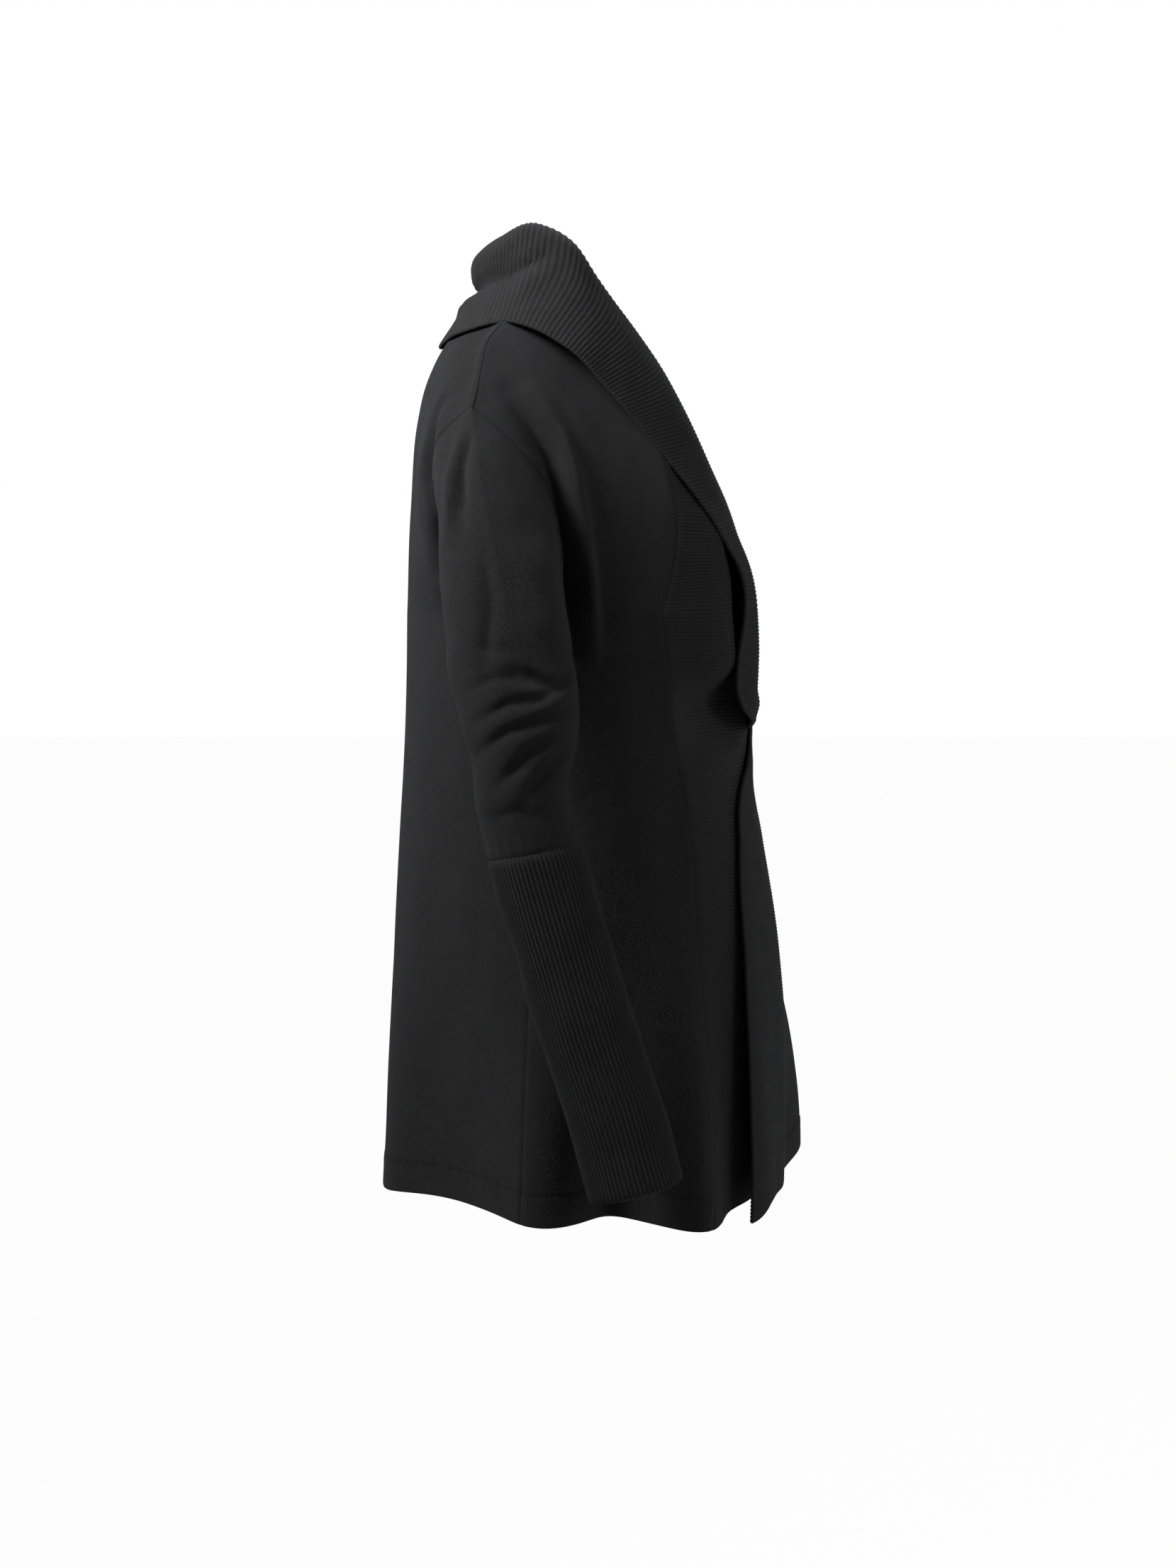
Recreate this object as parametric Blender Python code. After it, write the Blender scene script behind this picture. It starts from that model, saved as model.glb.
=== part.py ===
"""Longline cardigan, worn and wrapped left over right.

Every piece is one closed wall of cloth. Its outer points come from a grid of rows and
columns, and its inner points lie one wall thickness behind them. Metres, +Z up. The wearer
faces -Y, the wearer's right side is -X, and the origin is between the shoulders.
"""
import math

import bpy
import numpy as np

# Driving sizes, in metres and degrees
JERSEY_WALL = 0.0016
RIB_WALL = 0.0022
SEAM_GAP = 0.0003
ARMHOLE_GAP = 0.0008
AXIS_Y = -0.050
HEM_Z = -0.757
UNDERARM_Z = -0.268
BAND_WIDTH = 0.170
BAND_RIB = 0.026
TURN_RIB = 0.012
RIB_RAISE = 0.0008
SIDE_SEAM = 104.0
CUFF_RIBS = 66
LAP_LIFT = 0.006
ROLL_LOFT = 0.006
BEND_BACK = 0.014
CROWN_DROP = 0.007
BAND_BELLY = 0.020
SAME_POINT = 0.00005
ALIKE = 0.6

# Rows and columns of each grid
LOW_ROWS = 9
TOP_ROWS = 11
FRONT_COLUMNS = 10
NECK_COLUMNS = 5
CAP_ROWS = 6
ARM_ROWS = 12
CUFF_ROWS = 2

# Body sections: height, reach to the front, reach to the back, half width
BODY = (
    (-0.757, 0.165, 0.174, 0.207),
    (-0.650, 0.166, 0.170, 0.200),
    (-0.550, 0.159, 0.166, 0.194),
    (-0.460, 0.145, 0.161, 0.189),
    (-0.410, 0.137, 0.158, 0.187),
    (-0.375, 0.138, 0.156, 0.187),
    (-0.320, 0.145, 0.154, 0.189),
    (-0.268, 0.148, 0.153, 0.191),
)

# Hanging folds: panels it is on, angle from the front, width, reach added at the hem, top
FOLDS = (
    ("all", 66, 9, 0.038, -0.47),
    ("all", 84, 9, -0.034, -0.45),
    ("all", 100, 9, 0.022, -0.50),
    ("all", 128, 20, -0.016, -0.38),
    ("all", 158, 9, 0.005, -0.50),
    ("all", -84, 9, -0.034, -0.45),
    ("all", -101, 10, 0.020, -0.48),
    ("all", -130, 20, -0.014, -0.38),
    ("all", -163, 9, 0.006, -0.52),
    ("right", 6, 24, -0.034, -0.42),
    ("left", -38, 18, 0.054, -0.42),
    ("left", 48, 14, 0.020, -0.44),
)

# Hem lifts: panels, angle, width, lift
HEM_LIFTS = (
    ("all", 135, 25, 0.006),
    ("all", -135, 25, 0.005),
    ("all", 66, 12, -0.007),
    ("all", 98, 12, -0.004),
    ("left", -38, 16, 0.016),
    ("left", 50, 8, -0.008),
)

# Seam between a front and its band: height, angle on the right, angle on the left
BAND_SEAM = (
    (-0.757, 64, 0),
    (-0.650, 61, -4),
    (-0.550, 60, -12),
    (-0.460, 60, -24),
    (-0.430, 61, -30),
    (-0.410, 62, -38),
    (-0.390, 64, -49),
    (-0.350, 66, -63),
    (-0.310, 68, -68),
    (-0.268, 70, -70),
)

# Points of the right side, mirrored for the left. Each line runs upwards or to the middle.
NECK_POINT = (-0.085, 0.000, -0.006)
SHOULDER_POINT = (-0.205, 0.042, -0.102)
NECKLINE = ((-0.150, -0.125, -0.200), (-0.125, -0.110, -0.130),
            (-0.105, -0.075, -0.070), (-0.092, -0.035, -0.025))
BACK_NECK = ((-0.065, 0.022, -0.017), (-0.035, 0.031, -0.023), (0.0, 0.033, -0.025))
SHOULDER_SEAM = ((-0.120, 0.021, -0.030), (-0.145, 0.031, -0.045),
                 (-0.165, 0.036, -0.066), (-0.185, 0.039, -0.085))
FRONT_ARMHOLE = ((-0.196, -0.034, -0.234), (-0.203, -0.030, -0.190),
                 (-0.210, -0.004, -0.145), (-0.211, 0.021, -0.119))
BACK_ARMHOLE = ((-0.189, 0.034, -0.246), (-0.186, 0.062, -0.210),
                (-0.184, 0.076, -0.170), (-0.190, 0.070, -0.130))
BACK_YOKE = ((-0.060, 0.028, -0.022), (-0.110, 0.022, -0.034), (-0.150, 0.027, -0.056))
BACK_MIDDLE = ((0.0, 0.0985, -0.180), (0.0, 0.0930, -0.108),
               (0.0, 0.0830, -0.072), (0.0, 0.0600, -0.045))

# Turned collar: place along the seam, then where it rolls, falls and ends.
# The place is 0 at the hem, 1 at the underarm, 2 at the shoulder and 3 at the middle back.
COLLAR = (
    (0.778, (-0.060, -0.1775, -0.377), (-0.030, -0.1845, -0.376), (-0.004, -0.1865, -0.375)),
    (0.806, (-0.040, -0.179, -0.363), (-0.028, -0.185, -0.3635), (-0.022, -0.188, -0.366)),
    (0.833, (-0.037, -0.181, -0.350), (-0.032, -0.188, -0.351), (-0.052, -0.189, -0.359)),
    (0.861, (-0.039, -0.1845, -0.334), (-0.046, -0.1905, -0.336), (-0.085, -0.180, -0.347)),
    (0.889, (-0.044, -0.188, -0.319), (-0.060, -0.192, -0.322), (-0.103, -0.174, -0.330)),
    (0.914, (-0.049, -0.189, -0.306), (-0.070, -0.192, -0.309), (-0.111, -0.174, -0.314)),
    (1.000, (-0.054, -0.186, -0.262), (-0.076, -0.191, -0.264), (-0.113, -0.180, -0.266)),
    (1.224, (-0.056, -0.160, -0.192), (-0.080, -0.171, -0.197), (-0.118, -0.161, -0.204)),
    (1.457, (-0.056, -0.133, -0.122), (-0.084, -0.143, -0.131), (-0.127, -0.116, -0.141)),
    (1.681, (-0.057, -0.099, -0.050), (-0.086, -0.107, -0.063), (-0.132, -0.071, -0.088)),
    (1.871, (-0.060, -0.056, 0.012), (-0.089, -0.058, -0.004), (-0.131, -0.031, -0.047)),
    (1.940, (-0.061, -0.037, 0.041), (-0.087, -0.036, 0.020), (-0.127, -0.010, -0.034)),
    (2.000, (-0.059, -0.012, 0.0545), (-0.083, -0.008, 0.032), (-0.119, 0.010, -0.0265)),
    (2.350, (-0.0465, 0.015, 0.045), (-0.067, 0.025, 0.018), (-0.093, 0.042, -0.0285)),
    (2.700, (-0.022, 0.0275, 0.037), (-0.035, 0.042, 0.010), (-0.048, 0.063, -0.0355)),
    (3.000, (0.0, 0.031, 0.0335), (0.0, 0.0440, 0.005), (0.0, 0.0735, -0.0395)),
)

# Columns of the band as shares of the way to its roll, and from there to its edge
TO_ROLL = (0.0, 0.45, 0.80, 0.93, 1.0)
FROM_ROLL = (0.16, 0.38, 0.68, 1.0)
FLAT_ROLL = 0.72

# One place of the back neck beside one of the front, along the seam
NECK_PACE = 0.31

# Places between which the band starts to turn over
TURN_OVER = {"right": (0.72, 0.81), "left": (0.74, 0.83)}

# Places between which the ribs of the band are closest
TURNING = (0.70, 0.85)

# How far the left lapel stands in front of the right one, along the same seam
LEFT_FORWARD = ((0.78, 0.0065), (0.84, 0.006), (1.0, 0.006), (1.3, 0.009), (1.6, 0.005),
                (2.0, 0.0), (3.0, 0.0))

# Sleeve sections: middle, half depth front to back, half thickness side to side
SLEEVE = (
    ((-0.259, 0.0090, -0.302), 0.0495, 0.0430),
    ((-0.264, 0.0040, -0.333), 0.0485, 0.0435),
    ((-0.268, 0.0000, -0.364), 0.0445, 0.0420),
    ((-0.269, 0.0005, -0.405), 0.0370, 0.0370),
    ((-0.267, -0.0090, -0.452), 0.0370, 0.0350),
)
CUFF = (
    ((-0.267, -0.0090, -0.452), 0.0370, 0.0350),
    ((-0.265, -0.0300, -0.525), 0.0372, 0.0345),
    ((-0.263, -0.0540, -0.604), 0.0372, 0.0345),
    ((-0.262, -0.0740, -0.664), 0.0374, 0.0345),
    ((-0.262, -0.0900, -0.722), 0.0376, 0.0350),
)

# The shoulder's creases are pressed towards this place (x, y)
CREASE_MIDDLE = np.array([-0.080, 0.0])

# Creases seen from the side: half width, depth (ridges negative), then points (y, z)
UPPER_CREASES = (
    (0.012, 0.009, ((0.067, -0.100), (0.081, -0.132), (0.078, -0.169), (0.067, -0.208))),
    (0.009, -0.004, ((0.045, -0.110), (0.057, -0.160), (0.061, -0.209))),
    (0.014, 0.006, ((0.005, -0.112), (-0.029, -0.150), (-0.046, -0.222), (-0.053, -0.310))),
)
ELBOW_CREASES = (
    (0.010, 0.005, ((0.004, -0.308), (-0.021, -0.322), (-0.045, -0.305))),
    (0.011, 0.007, ((0.031, -0.376), (0.018, -0.350), (-0.004, -0.334), (-0.024, -0.331))),
    (0.010, 0.006, ((0.018, -0.401), (-0.004, -0.379), (-0.032, -0.352), (-0.043, -0.348))),
    (0.009, -0.004, ((-0.004, -0.406), (-0.018, -0.389), (-0.029, -0.371))),
)

# Colour, roughness
KNIT_COLOUR = (0.016, 0.016, 0.018, 1.0)
KNIT_ROUGHNESS = 0.9


def ramp(value, start, end):
    """0 at start, 1 at end, with soft ends."""
    f = np.clip((value - start) / (end - start), 0.0, 1.0)
    return f * f * (3.0 - 2.0 * f)


def unit(vector):
    return vector / np.linalg.norm(vector)


def follow(knots, values, places):
    """Read a smooth curve through values at knots."""
    knots = np.asarray(knots, float)
    values = np.asarray(values, float)
    places = np.clip(np.asarray(places, float), knots[0], knots[-1])
    slopes = np.gradient(values, knots, axis=0)
    cell = np.clip(np.searchsorted(knots, places, side="right") - 1, 0, len(knots) - 2)
    span = knots[cell + 1] - knots[cell]
    f = (places - knots[cell]) / span
    if values.ndim == 2:
        f = f[..., None]
        span = span[..., None]
    near = (1 + 2 * f) * (1 - f) ** 2 * values[cell] + f * (1 - f) ** 2 * span * slopes[cell]
    far = f * f * (3 - 2 * f) * values[cell + 1] + f * f * (f - 1) * span * slopes[cell + 1]
    return near + far


def lengths(points):
    """Distance along a line of points, at each point."""
    steps = np.linalg.norm(np.diff(points, axis=0), axis=1)
    return np.concatenate([[0.0], np.cumsum(steps)])


def line_through(points, share):
    """Smooth line through points, read at shares of its length."""
    points = np.asarray(points, float)
    knots = lengths(points)
    return follow(knots / knots[-1], points, share)


def spread(points, share):
    """Points at shares of the length of a dense line."""
    along = lengths(points)
    return np.stack([np.interp(share * along[-1], along, points[:, k]) for k in range(3)], axis=1)


def mirrored(points):
    """The same points on the wearer's left."""
    return np.asarray(points, float) * np.array([-1.0, 1.0, 1.0])


# Body

def reach(angle, height, panel):
    """Distance of the cloth from the body's middle line at an angle from the front."""
    table = np.array(BODY)
    front, back, half = (follow(table[::1, 0], table[:, k], height) for k in (1, 2, 3))
    turn = np.radians(angle)
    depth = np.where(np.cos(turn) > 0, front, back)
    base = 1.0 / np.sqrt((np.sin(turn) / half) ** 2 + (np.cos(turn) / depth) ** 2)
    for where, middle, width, amount, top in FOLDS:
        if where in ("all", panel):
            base = base + amount * np.exp(-((angle - middle) / width) ** 2) * ramp(height, top, HEM_Z)
    if panel == "left":
        base = base + LAP_LIFT * ramp(height, -0.34, -0.40) * ramp(angle, -65.0, -15.0)
    return base


def body_point(angle, level, panel):
    """Point on a panel at a level from 0, the hem, to 1, the underarm."""
    angle = np.asarray(angle, float)
    hem = np.full(angle.shape, HEM_Z)
    for where, middle, width, lift in HEM_LIFTS:
        if where in ("all", panel):
            hem = hem + lift * np.exp(-((angle - middle) / width) ** 2)
    plain = HEM_Z + (UNDERARM_Z - HEM_Z) * level
    radius = reach(angle, np.full(angle.shape, plain), panel)
    turn = np.radians(angle)
    height = hem + (UNDERARM_Z - hem) * level
    return np.stack([-radius * np.sin(turn), AXIS_Y - radius * np.cos(turn), height], axis=-1)


def seam_angle(level, panel):
    """Angle of the seam between a front and its band."""
    table = np.array(BAND_SEAM, float)
    height = HEM_Z + (UNDERARM_Z - HEM_Z) * level
    return follow(table[:, 0], table[:, 1 if panel == "right" else 2], height)


def underarm():
    return body_point(SIDE_SEAM, 1.0, "right")


def neckline(share):
    start = body_point(seam_angle(1.0, "right"), 1.0, "right")
    return line_through([start, *NECKLINE, NECK_POINT], share)


def shoulder_seam(share):
    return line_through([NECK_POINT, *SHOULDER_SEAM, SHOULDER_POINT], share)


def armhole(share, points):
    return line_through([underarm(), *points, SHOULDER_POINT], share)


def yoke_line(top):
    """Plain line across the back's top, at the same places from side to side as the top."""
    line = line_through([BACK_NECK[-1], *BACK_YOKE, SHOULDER_POINT], np.linspace(0.0, 1.0, 60))
    level = [np.interp(-top[:, 0], -line[:, 0], line[:, k]) for k in (1, 2)]
    return np.stack([top[:, 0], *level], axis=1)


def patch(across, up, bottom, top, first, last, plain=None):
    """Surface between four lines; its cross lines leave both sides level.

    Where a plain line is given, the top's own turns from it fade out just below the top."""
    a = across[None, :, None]
    u = up[:, None, None]
    h = ramp(a, 0.0, 1.0)
    plain = top if plain is None else plain
    sides = (1 - u) * bottom[None] + u * plain[None] + ramp(u, 0.75, 1.0) * (top - plain)[None]
    lean_first = first[:, None] - (1 - u) * first[0] - u * first[-1]
    lean_last = last[:, None] - (1 - u) * last[0] - u * last[-1]
    return sides + (1 - h) * lean_first + h * lean_last


def front_grid(panel, low, top, columns):
    """Rows from the hem to the shoulder seam, columns from the band to the side."""
    sign = 1.0 if panel == "right" else -1.0
    across = np.linspace(0.0, 1.0, columns + 1)
    rows = []
    for level in np.linspace(0.0, 1.0, low + 1):
        start = seam_angle(level, panel)
        rows.append(body_point(start + (sign * SIDE_SEAM - start) * across, level, panel))
    up = np.linspace(0.0, 1.0, top + 1)
    start = seam_angle(1.0, "right")
    bottom = body_point(start + (SIDE_SEAM - start) * across, 1.0, "right")
    chest = patch(across, up, bottom, shoulder_seam(across), neckline(up),
                  armhole(up, FRONT_ARMHOLE))
    if panel == "left":
        chest = mirrored(chest)
    return np.concatenate([np.array(rows), chest[1:]])


def back_half(low, top, columns, neck):
    """The back's right half: columns from the middle back to the side."""
    across = np.linspace(0.0, 1.0, neck + columns + 1)
    angle = 180.0 + (SIDE_SEAM - 180.0) * across
    rows = [body_point(angle, level, "back") for level in np.linspace(0.0, 1.0, low + 1)]
    up = np.linspace(0.0, 1.0, top + 1)
    neck_line = line_through([NECK_POINT, *BACK_NECK], np.linspace(1.0, 0.0, neck + 1))
    seam = shoulder_seam(np.linspace(0.0, 1.0, columns + 1))
    top_line = np.concatenate([neck_line, seam[1:]])
    middle = line_through([rows[-1][0], *BACK_MIDDLE, BACK_NECK[-1]], up)
    blades = patch(across, up, rows[-1], top_line, middle, armhole(up, BACK_ARMHOLE),
                   plain=yoke_line(top_line))
    return np.array(rows), blades


def back_grid(low, top, columns, neck):
    """Rows from the hem up, columns from the right side to the left side."""
    rows, blades = back_half(low, top, columns, neck)
    across = np.linspace(0.0, 1.0, neck + columns + 1)
    angle = -180.0 + (180.0 - SIDE_SEAM) * across
    left = np.array([body_point(angle, level, "back") for level in np.linspace(0.0, 1.0, low + 1)])
    right = np.concatenate([rows, blades[1:]])
    left = np.concatenate([left, mirrored(blades[1:])])
    return np.concatenate([right[:, ::-1], left[:, 1:]], axis=1)


# Band and collar

def flat_section(place, panel):
    """Dense line of the band lying on the body, from its seam to its free edge."""
    start = seam_angle(place, panel)
    sign = 1.0 if panel == "right" else -1.0
    points = body_point(start - sign * np.linspace(0.0, 80.0, 160), place, panel)
    return spread(points, np.linspace(0.0, 1.0, 80) * BAND_WIDTH / lengths(points)[-1])


def seam_way(place):
    """Distance along the seam, where the neck's places lie closer than the front's."""
    return min(place, 2.0) + NECK_PACE * max(place - 2.0, 0.0)


def turned_section(place, panel, seam):
    """Dense line of the collar turned over, and the share of it that lies before the roll."""
    ways = [seam_way(row[0]) for row in COLLAR]
    way = seam_way(place)
    roll, fall, edge = (follow(ways, [row[k] for row in COLLAR], way) for k in (1, 2, 3))
    if panel == "left":
        table = np.array(LEFT_FORWARD)
        forward = np.array([0.0, -follow(table[:, 0], table[:, 1], place), 0.0])
        roll = mirrored(roll) + forward
        fall = mirrored(fall) + forward
        edge = mirrored(edge) + (1.0 - 0.5 * ramp(place, 0.85, 1.0)) * forward
    climb = unit(roll - seam)
    loft = ROLL_LOFT * ramp(place, 0.80, 0.86)
    away = unit(seam + climb * ((fall - seam) @ climb) - fall)
    under = loft * away
    belly = BAND_BELLY * ramp(place, 0.90, 1.05) * (1.0 - ramp(place, 1.2, 1.5))
    rise = seam + 0.5 * (roll - seam) + under - belly * away
    bend = roll - BEND_BACK * climb + under
    upright = np.array([fall[0], fall[1], roll[2] - CROWN_DROP])
    plain = [seam, rise, bend, roll, fall, edge]
    knots = lengths(np.array(plain))
    crown = line_through(plain, 0.5 * (knots[3] + knots[4]) / knots[-1])
    crown = crown + (upright - crown) * ramp(place, 1.6, 2.4)
    line = [seam, rise, bend, roll, crown, fall, edge]
    knots = lengths(np.array(line))
    share = np.linspace(0.0, 1.0, 120)
    dense = line_through(line, share)
    along = lengths(dense)
    before = np.interp(knots[3] / knots[-1], share, along) / along[-1]
    return dense, before


def band_section(place, panel, seam):
    """One row of the band, closer together at the roll."""
    flat = flat_section(min(place, 1.0), panel)
    turned, before = turned_section(place, panel, seam)
    start, end = TURN_OVER[panel]
    weight = ramp(place, start, end)
    before = FLAT_ROLL + (before - FLAT_ROLL) * weight
    share = np.concatenate([before * np.array(TO_ROLL), before + (1.0 - before) * np.array(FROM_ROLL)])
    points = spread(flat, share) * (1.0 - weight) + spread(turned, share) * weight
    return points + (seam - points[0]) * ((1.0 - share) ** 3)[:, None]


def band_grid(panel, edge, places, pitch):
    """Rows along the seam, two to a rib, columns from the seam to the free edge."""
    rows = []
    anchors = [0]
    for k in range(len(edge) - 1):
        gap = np.linalg.norm(edge[k + 1] - edge[k])
        close = TURN_RIB if TURNING[0] < places[k] < TURNING[1] else pitch
        count = 2 * max(1, round(gap / close))
        for f in np.arange(count) / count:
            seam = edge[k] + (edge[k + 1] - edge[k]) * f
            rows.append(band_section(places[k] + (places[k + 1] - places[k]) * f, panel, seam))
        anchors.append(len(rows))
    rows.append(band_section(places[-1], panel, edge[-1]))
    return np.array(rows), anchors


# Sleeve and cuff

def tube_ring(table, share, count):
    """Ring across a limb at a share of its length, from its outer point towards the front."""
    middles = np.array([row[0] for row in table])
    knots = lengths(middles) / lengths(middles)[-1]
    middle = follow(knots, middles, share)
    depth = follow(knots, [row[1] for row in table], share)
    thick = follow(knots, [row[2] for row in table], share)
    down = follow(knots, middles, min(share + 0.02, 1.0)) - follow(knots, middles, max(share - 0.02, 0.0))
    forward = unit(np.cross(unit(down), (1.0, 0.0, 0.0)))
    outward = unit(np.cross(down, forward))
    turn = 2.0 * math.pi * np.arange(count) / count
    return middle + depth * np.sin(turn)[:, None] * forward + thick * np.cos(turn)[:, None] * outward


def sleeve_grid(half_count, cap, arm):
    """Right sleeve: rows from the armhole down to the cuff seam."""
    share = np.linspace(1.0, 0.0, half_count + 1)
    front = armhole(share, FRONT_ARMHOLE)
    back = armhole(share[::-1], BACK_ARMHOLE)
    opening = np.concatenate([front[:-1], back[:-1]])
    count = 2 * half_count
    first = tube_ring(SLEEVE, 0.0, count)
    gap = np.linalg.norm(first - opening, axis=1)[:, None]
    leave = np.array([-0.84, -0.02, -0.54]) * gap
    arrive = np.array([-0.10, -0.10, -0.99]) * gap
    rows = []
    for f in np.linspace(0.0, 1.0, cap + 1)[:-1]:
        start = (1 + 2 * f) * (1 - f) ** 2 * opening + f * (1 - f) ** 2 * leave
        end = f * f * (3 - 2 * f) * first + f * f * (f - 1) * arrive
        rows.append(start + end)
    for f in np.linspace(0.0, 1.0, arm + 1):
        rows.append(tube_ring(SLEEVE, f, count))
    return np.array(rows)


def cuff_grid(seam, around, rows):
    """Right cuff: its first ring lies on the sleeve's last one."""
    count = len(seam)
    per_side = around // count
    f = np.arange(per_side)[:, None] / per_side
    following = np.roll(seam, -1, axis=0)
    edge = np.concatenate([a + (b - a) * f for a, b in zip(seam, following)])
    rings = [edge]
    for share in np.linspace(0.0, 1.0, rows + 1)[1:]:
        rings.append(tube_ring(CUFF, share, around))
    return np.array(rings)


# Creases

def crease_depth(places, creases):
    """Depth of soft troughs along lines, at places (y, z)."""
    depth = np.zeros(places.shape[:-1])
    for width, amount, line in creases:
        line = np.array(line)
        along = lengths(line)
        nearest = np.full(places.shape[:-1], np.inf)
        position = np.zeros(places.shape[:-1])
        for k in range(len(line) - 1):
            step = line[k + 1] - line[k]
            f = np.clip(((places - line[k]) @ step) / (step @ step), 0.0, 1.0)
            gap = np.linalg.norm(places - line[k] - f[..., None] * step, axis=-1)
            closer = gap < nearest
            nearest = np.where(closer, gap, nearest)
            position = np.where(closer, along[k] + f * (along[k + 1] - along[k]), position)
        from_end = np.minimum(position, along[-1] - position) / along[-1]
        depth += amount * np.exp(-(nearest / width) ** 2) * (0.35 + 0.65 * ramp(from_end, 0.0, 0.3))
    return depth


def crease_upper(points):
    """Press the shoulder and armhole creases into pieces of the right side."""
    away = ramp(-points[..., 0], 0.09, 0.17)
    depth = crease_depth(points[..., 1:], UPPER_CREASES) * away
    towards = CREASE_MIDDLE - points[..., :2]
    towards = towards / np.linalg.norm(towards, axis=-1, keepdims=True)
    points[..., :2] += depth[..., None] * towards
    return points


def crease_elbow(points):
    """Press the elbow creases into both faces of the right sleeve."""
    middles = np.array([row[0] for row in SLEEVE])
    middle = np.interp(-points[..., 2], -middles[:, 2], middles[:, 0])
    outer = ramp(middle - points[..., 0], 0.0, 0.03)
    inner = ramp(points[..., 0] - middle, 0.0, 0.03)
    shifted = points[..., 1:] + np.array([0.004, 0.007])
    points[..., 0] += crease_depth(points[..., 1:], ELBOW_CREASES) * outer
    points[..., 0] -= 0.6 * crease_depth(shifted, ELBOW_CREASES) * inner
    return points


# Walls

class Piece:
    """One piece of cloth: outer points, normals, and what its edges are sewn to."""

    def __init__(self, name, points, wall, outward, closed=False, sewn=(), gap=SEAM_GAP):
        self.name = name
        self.points = points
        self.wall = wall
        self.gap = gap
        self.closed = closed
        self.sewn = sewn
        self.raise_out = np.zeros(points.shape[:2])
        self.raise_in = np.zeros(points.shape[:2])
        along = np.gradient(points, axis=0)
        if closed:
            across = 0.5 * (np.roll(points, -1, axis=1) - np.roll(points, 1, axis=1))
        else:
            across = np.gradient(points, axis=1)
        normals = np.cross(along, across)
        self.flip = np.sum(normals * outward) < 0
        if self.flip:
            normals = -normals
        self.normals = normals / np.linalg.norm(normals, axis=-1, keepdims=True)

    def edges(self):
        """Row and column of every point on a sewn edge."""
        rows, columns = self.points.shape[:2]
        found = set()
        if "first_row" in self.sewn:
            found |= {(0, k) for k in range(columns)}
        if "last_row" in self.sewn:
            found |= {(rows - 1, k) for k in range(columns)}
        if "first_column" in self.sewn:
            found |= {(k, 0) for k in range(rows)}
        if "last_column" in self.sewn:
            found |= {(k, columns - 1) for k in range(rows)}
        return sorted(found)

    def draw_back(self):
        """Half the seam gap, off each sewn edge."""
        points = self.points.copy()
        for name, edge, inside in (("first_row", np.s_[0, :], np.s_[1, :]),
                                   ("last_row", np.s_[-1, :], np.s_[-2, :]),
                                   ("first_column", np.s_[:, 0], np.s_[:, 1]),
                                   ("last_column", np.s_[:, -1], np.s_[:, -2])):
            if name in self.sewn:
                step = self.points[inside] - self.points[edge]
                step = step / np.linalg.norm(step, axis=-1, keepdims=True)
                points[edge] += 0.5 * self.gap * step
        return points

    def surfaces(self):
        points = self.draw_back()
        outer = points + self.normals * self.raise_out[..., None]
        inner = points - self.normals * (self.wall + self.raise_in)[..., None]
        return outer, inner


def common_normal(normals):
    """Middle direction of cloths that meet; those that lie alike count as one."""
    groups = []
    for normal in normals:
        for group in groups:
            if unit(sum(group)) @ normal > ALIKE:
                group.append(normal)
                break
        else:
            groups.append([normal])
    return unit(sum(unit(sum(group)) for group in groups))


def share_normals(pieces):
    """Pieces sewn together lean the same way along their seam, so their edges stay apart."""
    spots = [(piece, spot) for piece in pieces for spot in piece.edges()]
    places = np.array([piece.points[spot] for piece, spot in spots])
    normals = np.array([piece.normals[spot] for piece, spot in spots])
    for (piece, spot), place in zip(spots, places):
        together = np.linalg.norm(places - place, axis=1) < SAME_POINT
        piece.normals[spot] = common_normal(normals[together])


def ease_normals(normals, anchors):
    """Between the points that a fine edge shares with a coarse one, lean evenly."""
    for start, end in zip(anchors[:-1], anchors[1:]):
        for k in range(start + 1, end):
            f = (k - start) / (end - start)
            normals[k] = normals[start] * (1 - f) + normals[end % len(normals)] * f


def wall_mesh(piece):
    """Closed mesh of a piece: outer face, inner face and the rims between them."""
    outer, inner = piece.surfaces()
    rows, columns = outer.shape[:2]
    points = np.concatenate([outer.reshape(-1, 3), inner.reshape(-1, 3)])
    count = rows * columns
    faces = []

    def quad(a, b, c, d, turned):
        if turned:
            b, d = d, b
        faces.append((a, b, c))
        faces.append((a, c, d))

    around = columns if piece.closed else columns - 1
    for i in range(rows - 1):
        for j in range(around):
            k = (j + 1) % columns
            corners = (i * columns + j, (i + 1) * columns + j, (i + 1) * columns + k, i * columns + k)
            quad(*corners, piece.flip)
            quad(*(corner + count for corner in corners), not piece.flip)
    for j in range(around):
        k = (j + 1) % columns
        quad(j, k, k + count, j + count, piece.flip)
        last = (rows - 1) * columns
        quad(last + j, last + k, last + k + count, last + j + count, not piece.flip)
    if not piece.closed:
        for i in range(rows - 1):
            a = i * columns
            b = (i + 1) * columns
            quad(a, b, b + count, a + count, not piece.flip)
            a += columns - 1
            b += columns - 1
            quad(a, b, b + count, a + count, piece.flip)
    mesh = bpy.data.meshes.new(piece.name)
    mesh.from_pydata([tuple(p) for p in points], [], faces)
    mesh.validate()
    mesh.shade_smooth()
    mesh.set_sharp_from_angle(angle=math.radians(50.0))
    return mesh


# Assembly

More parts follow.
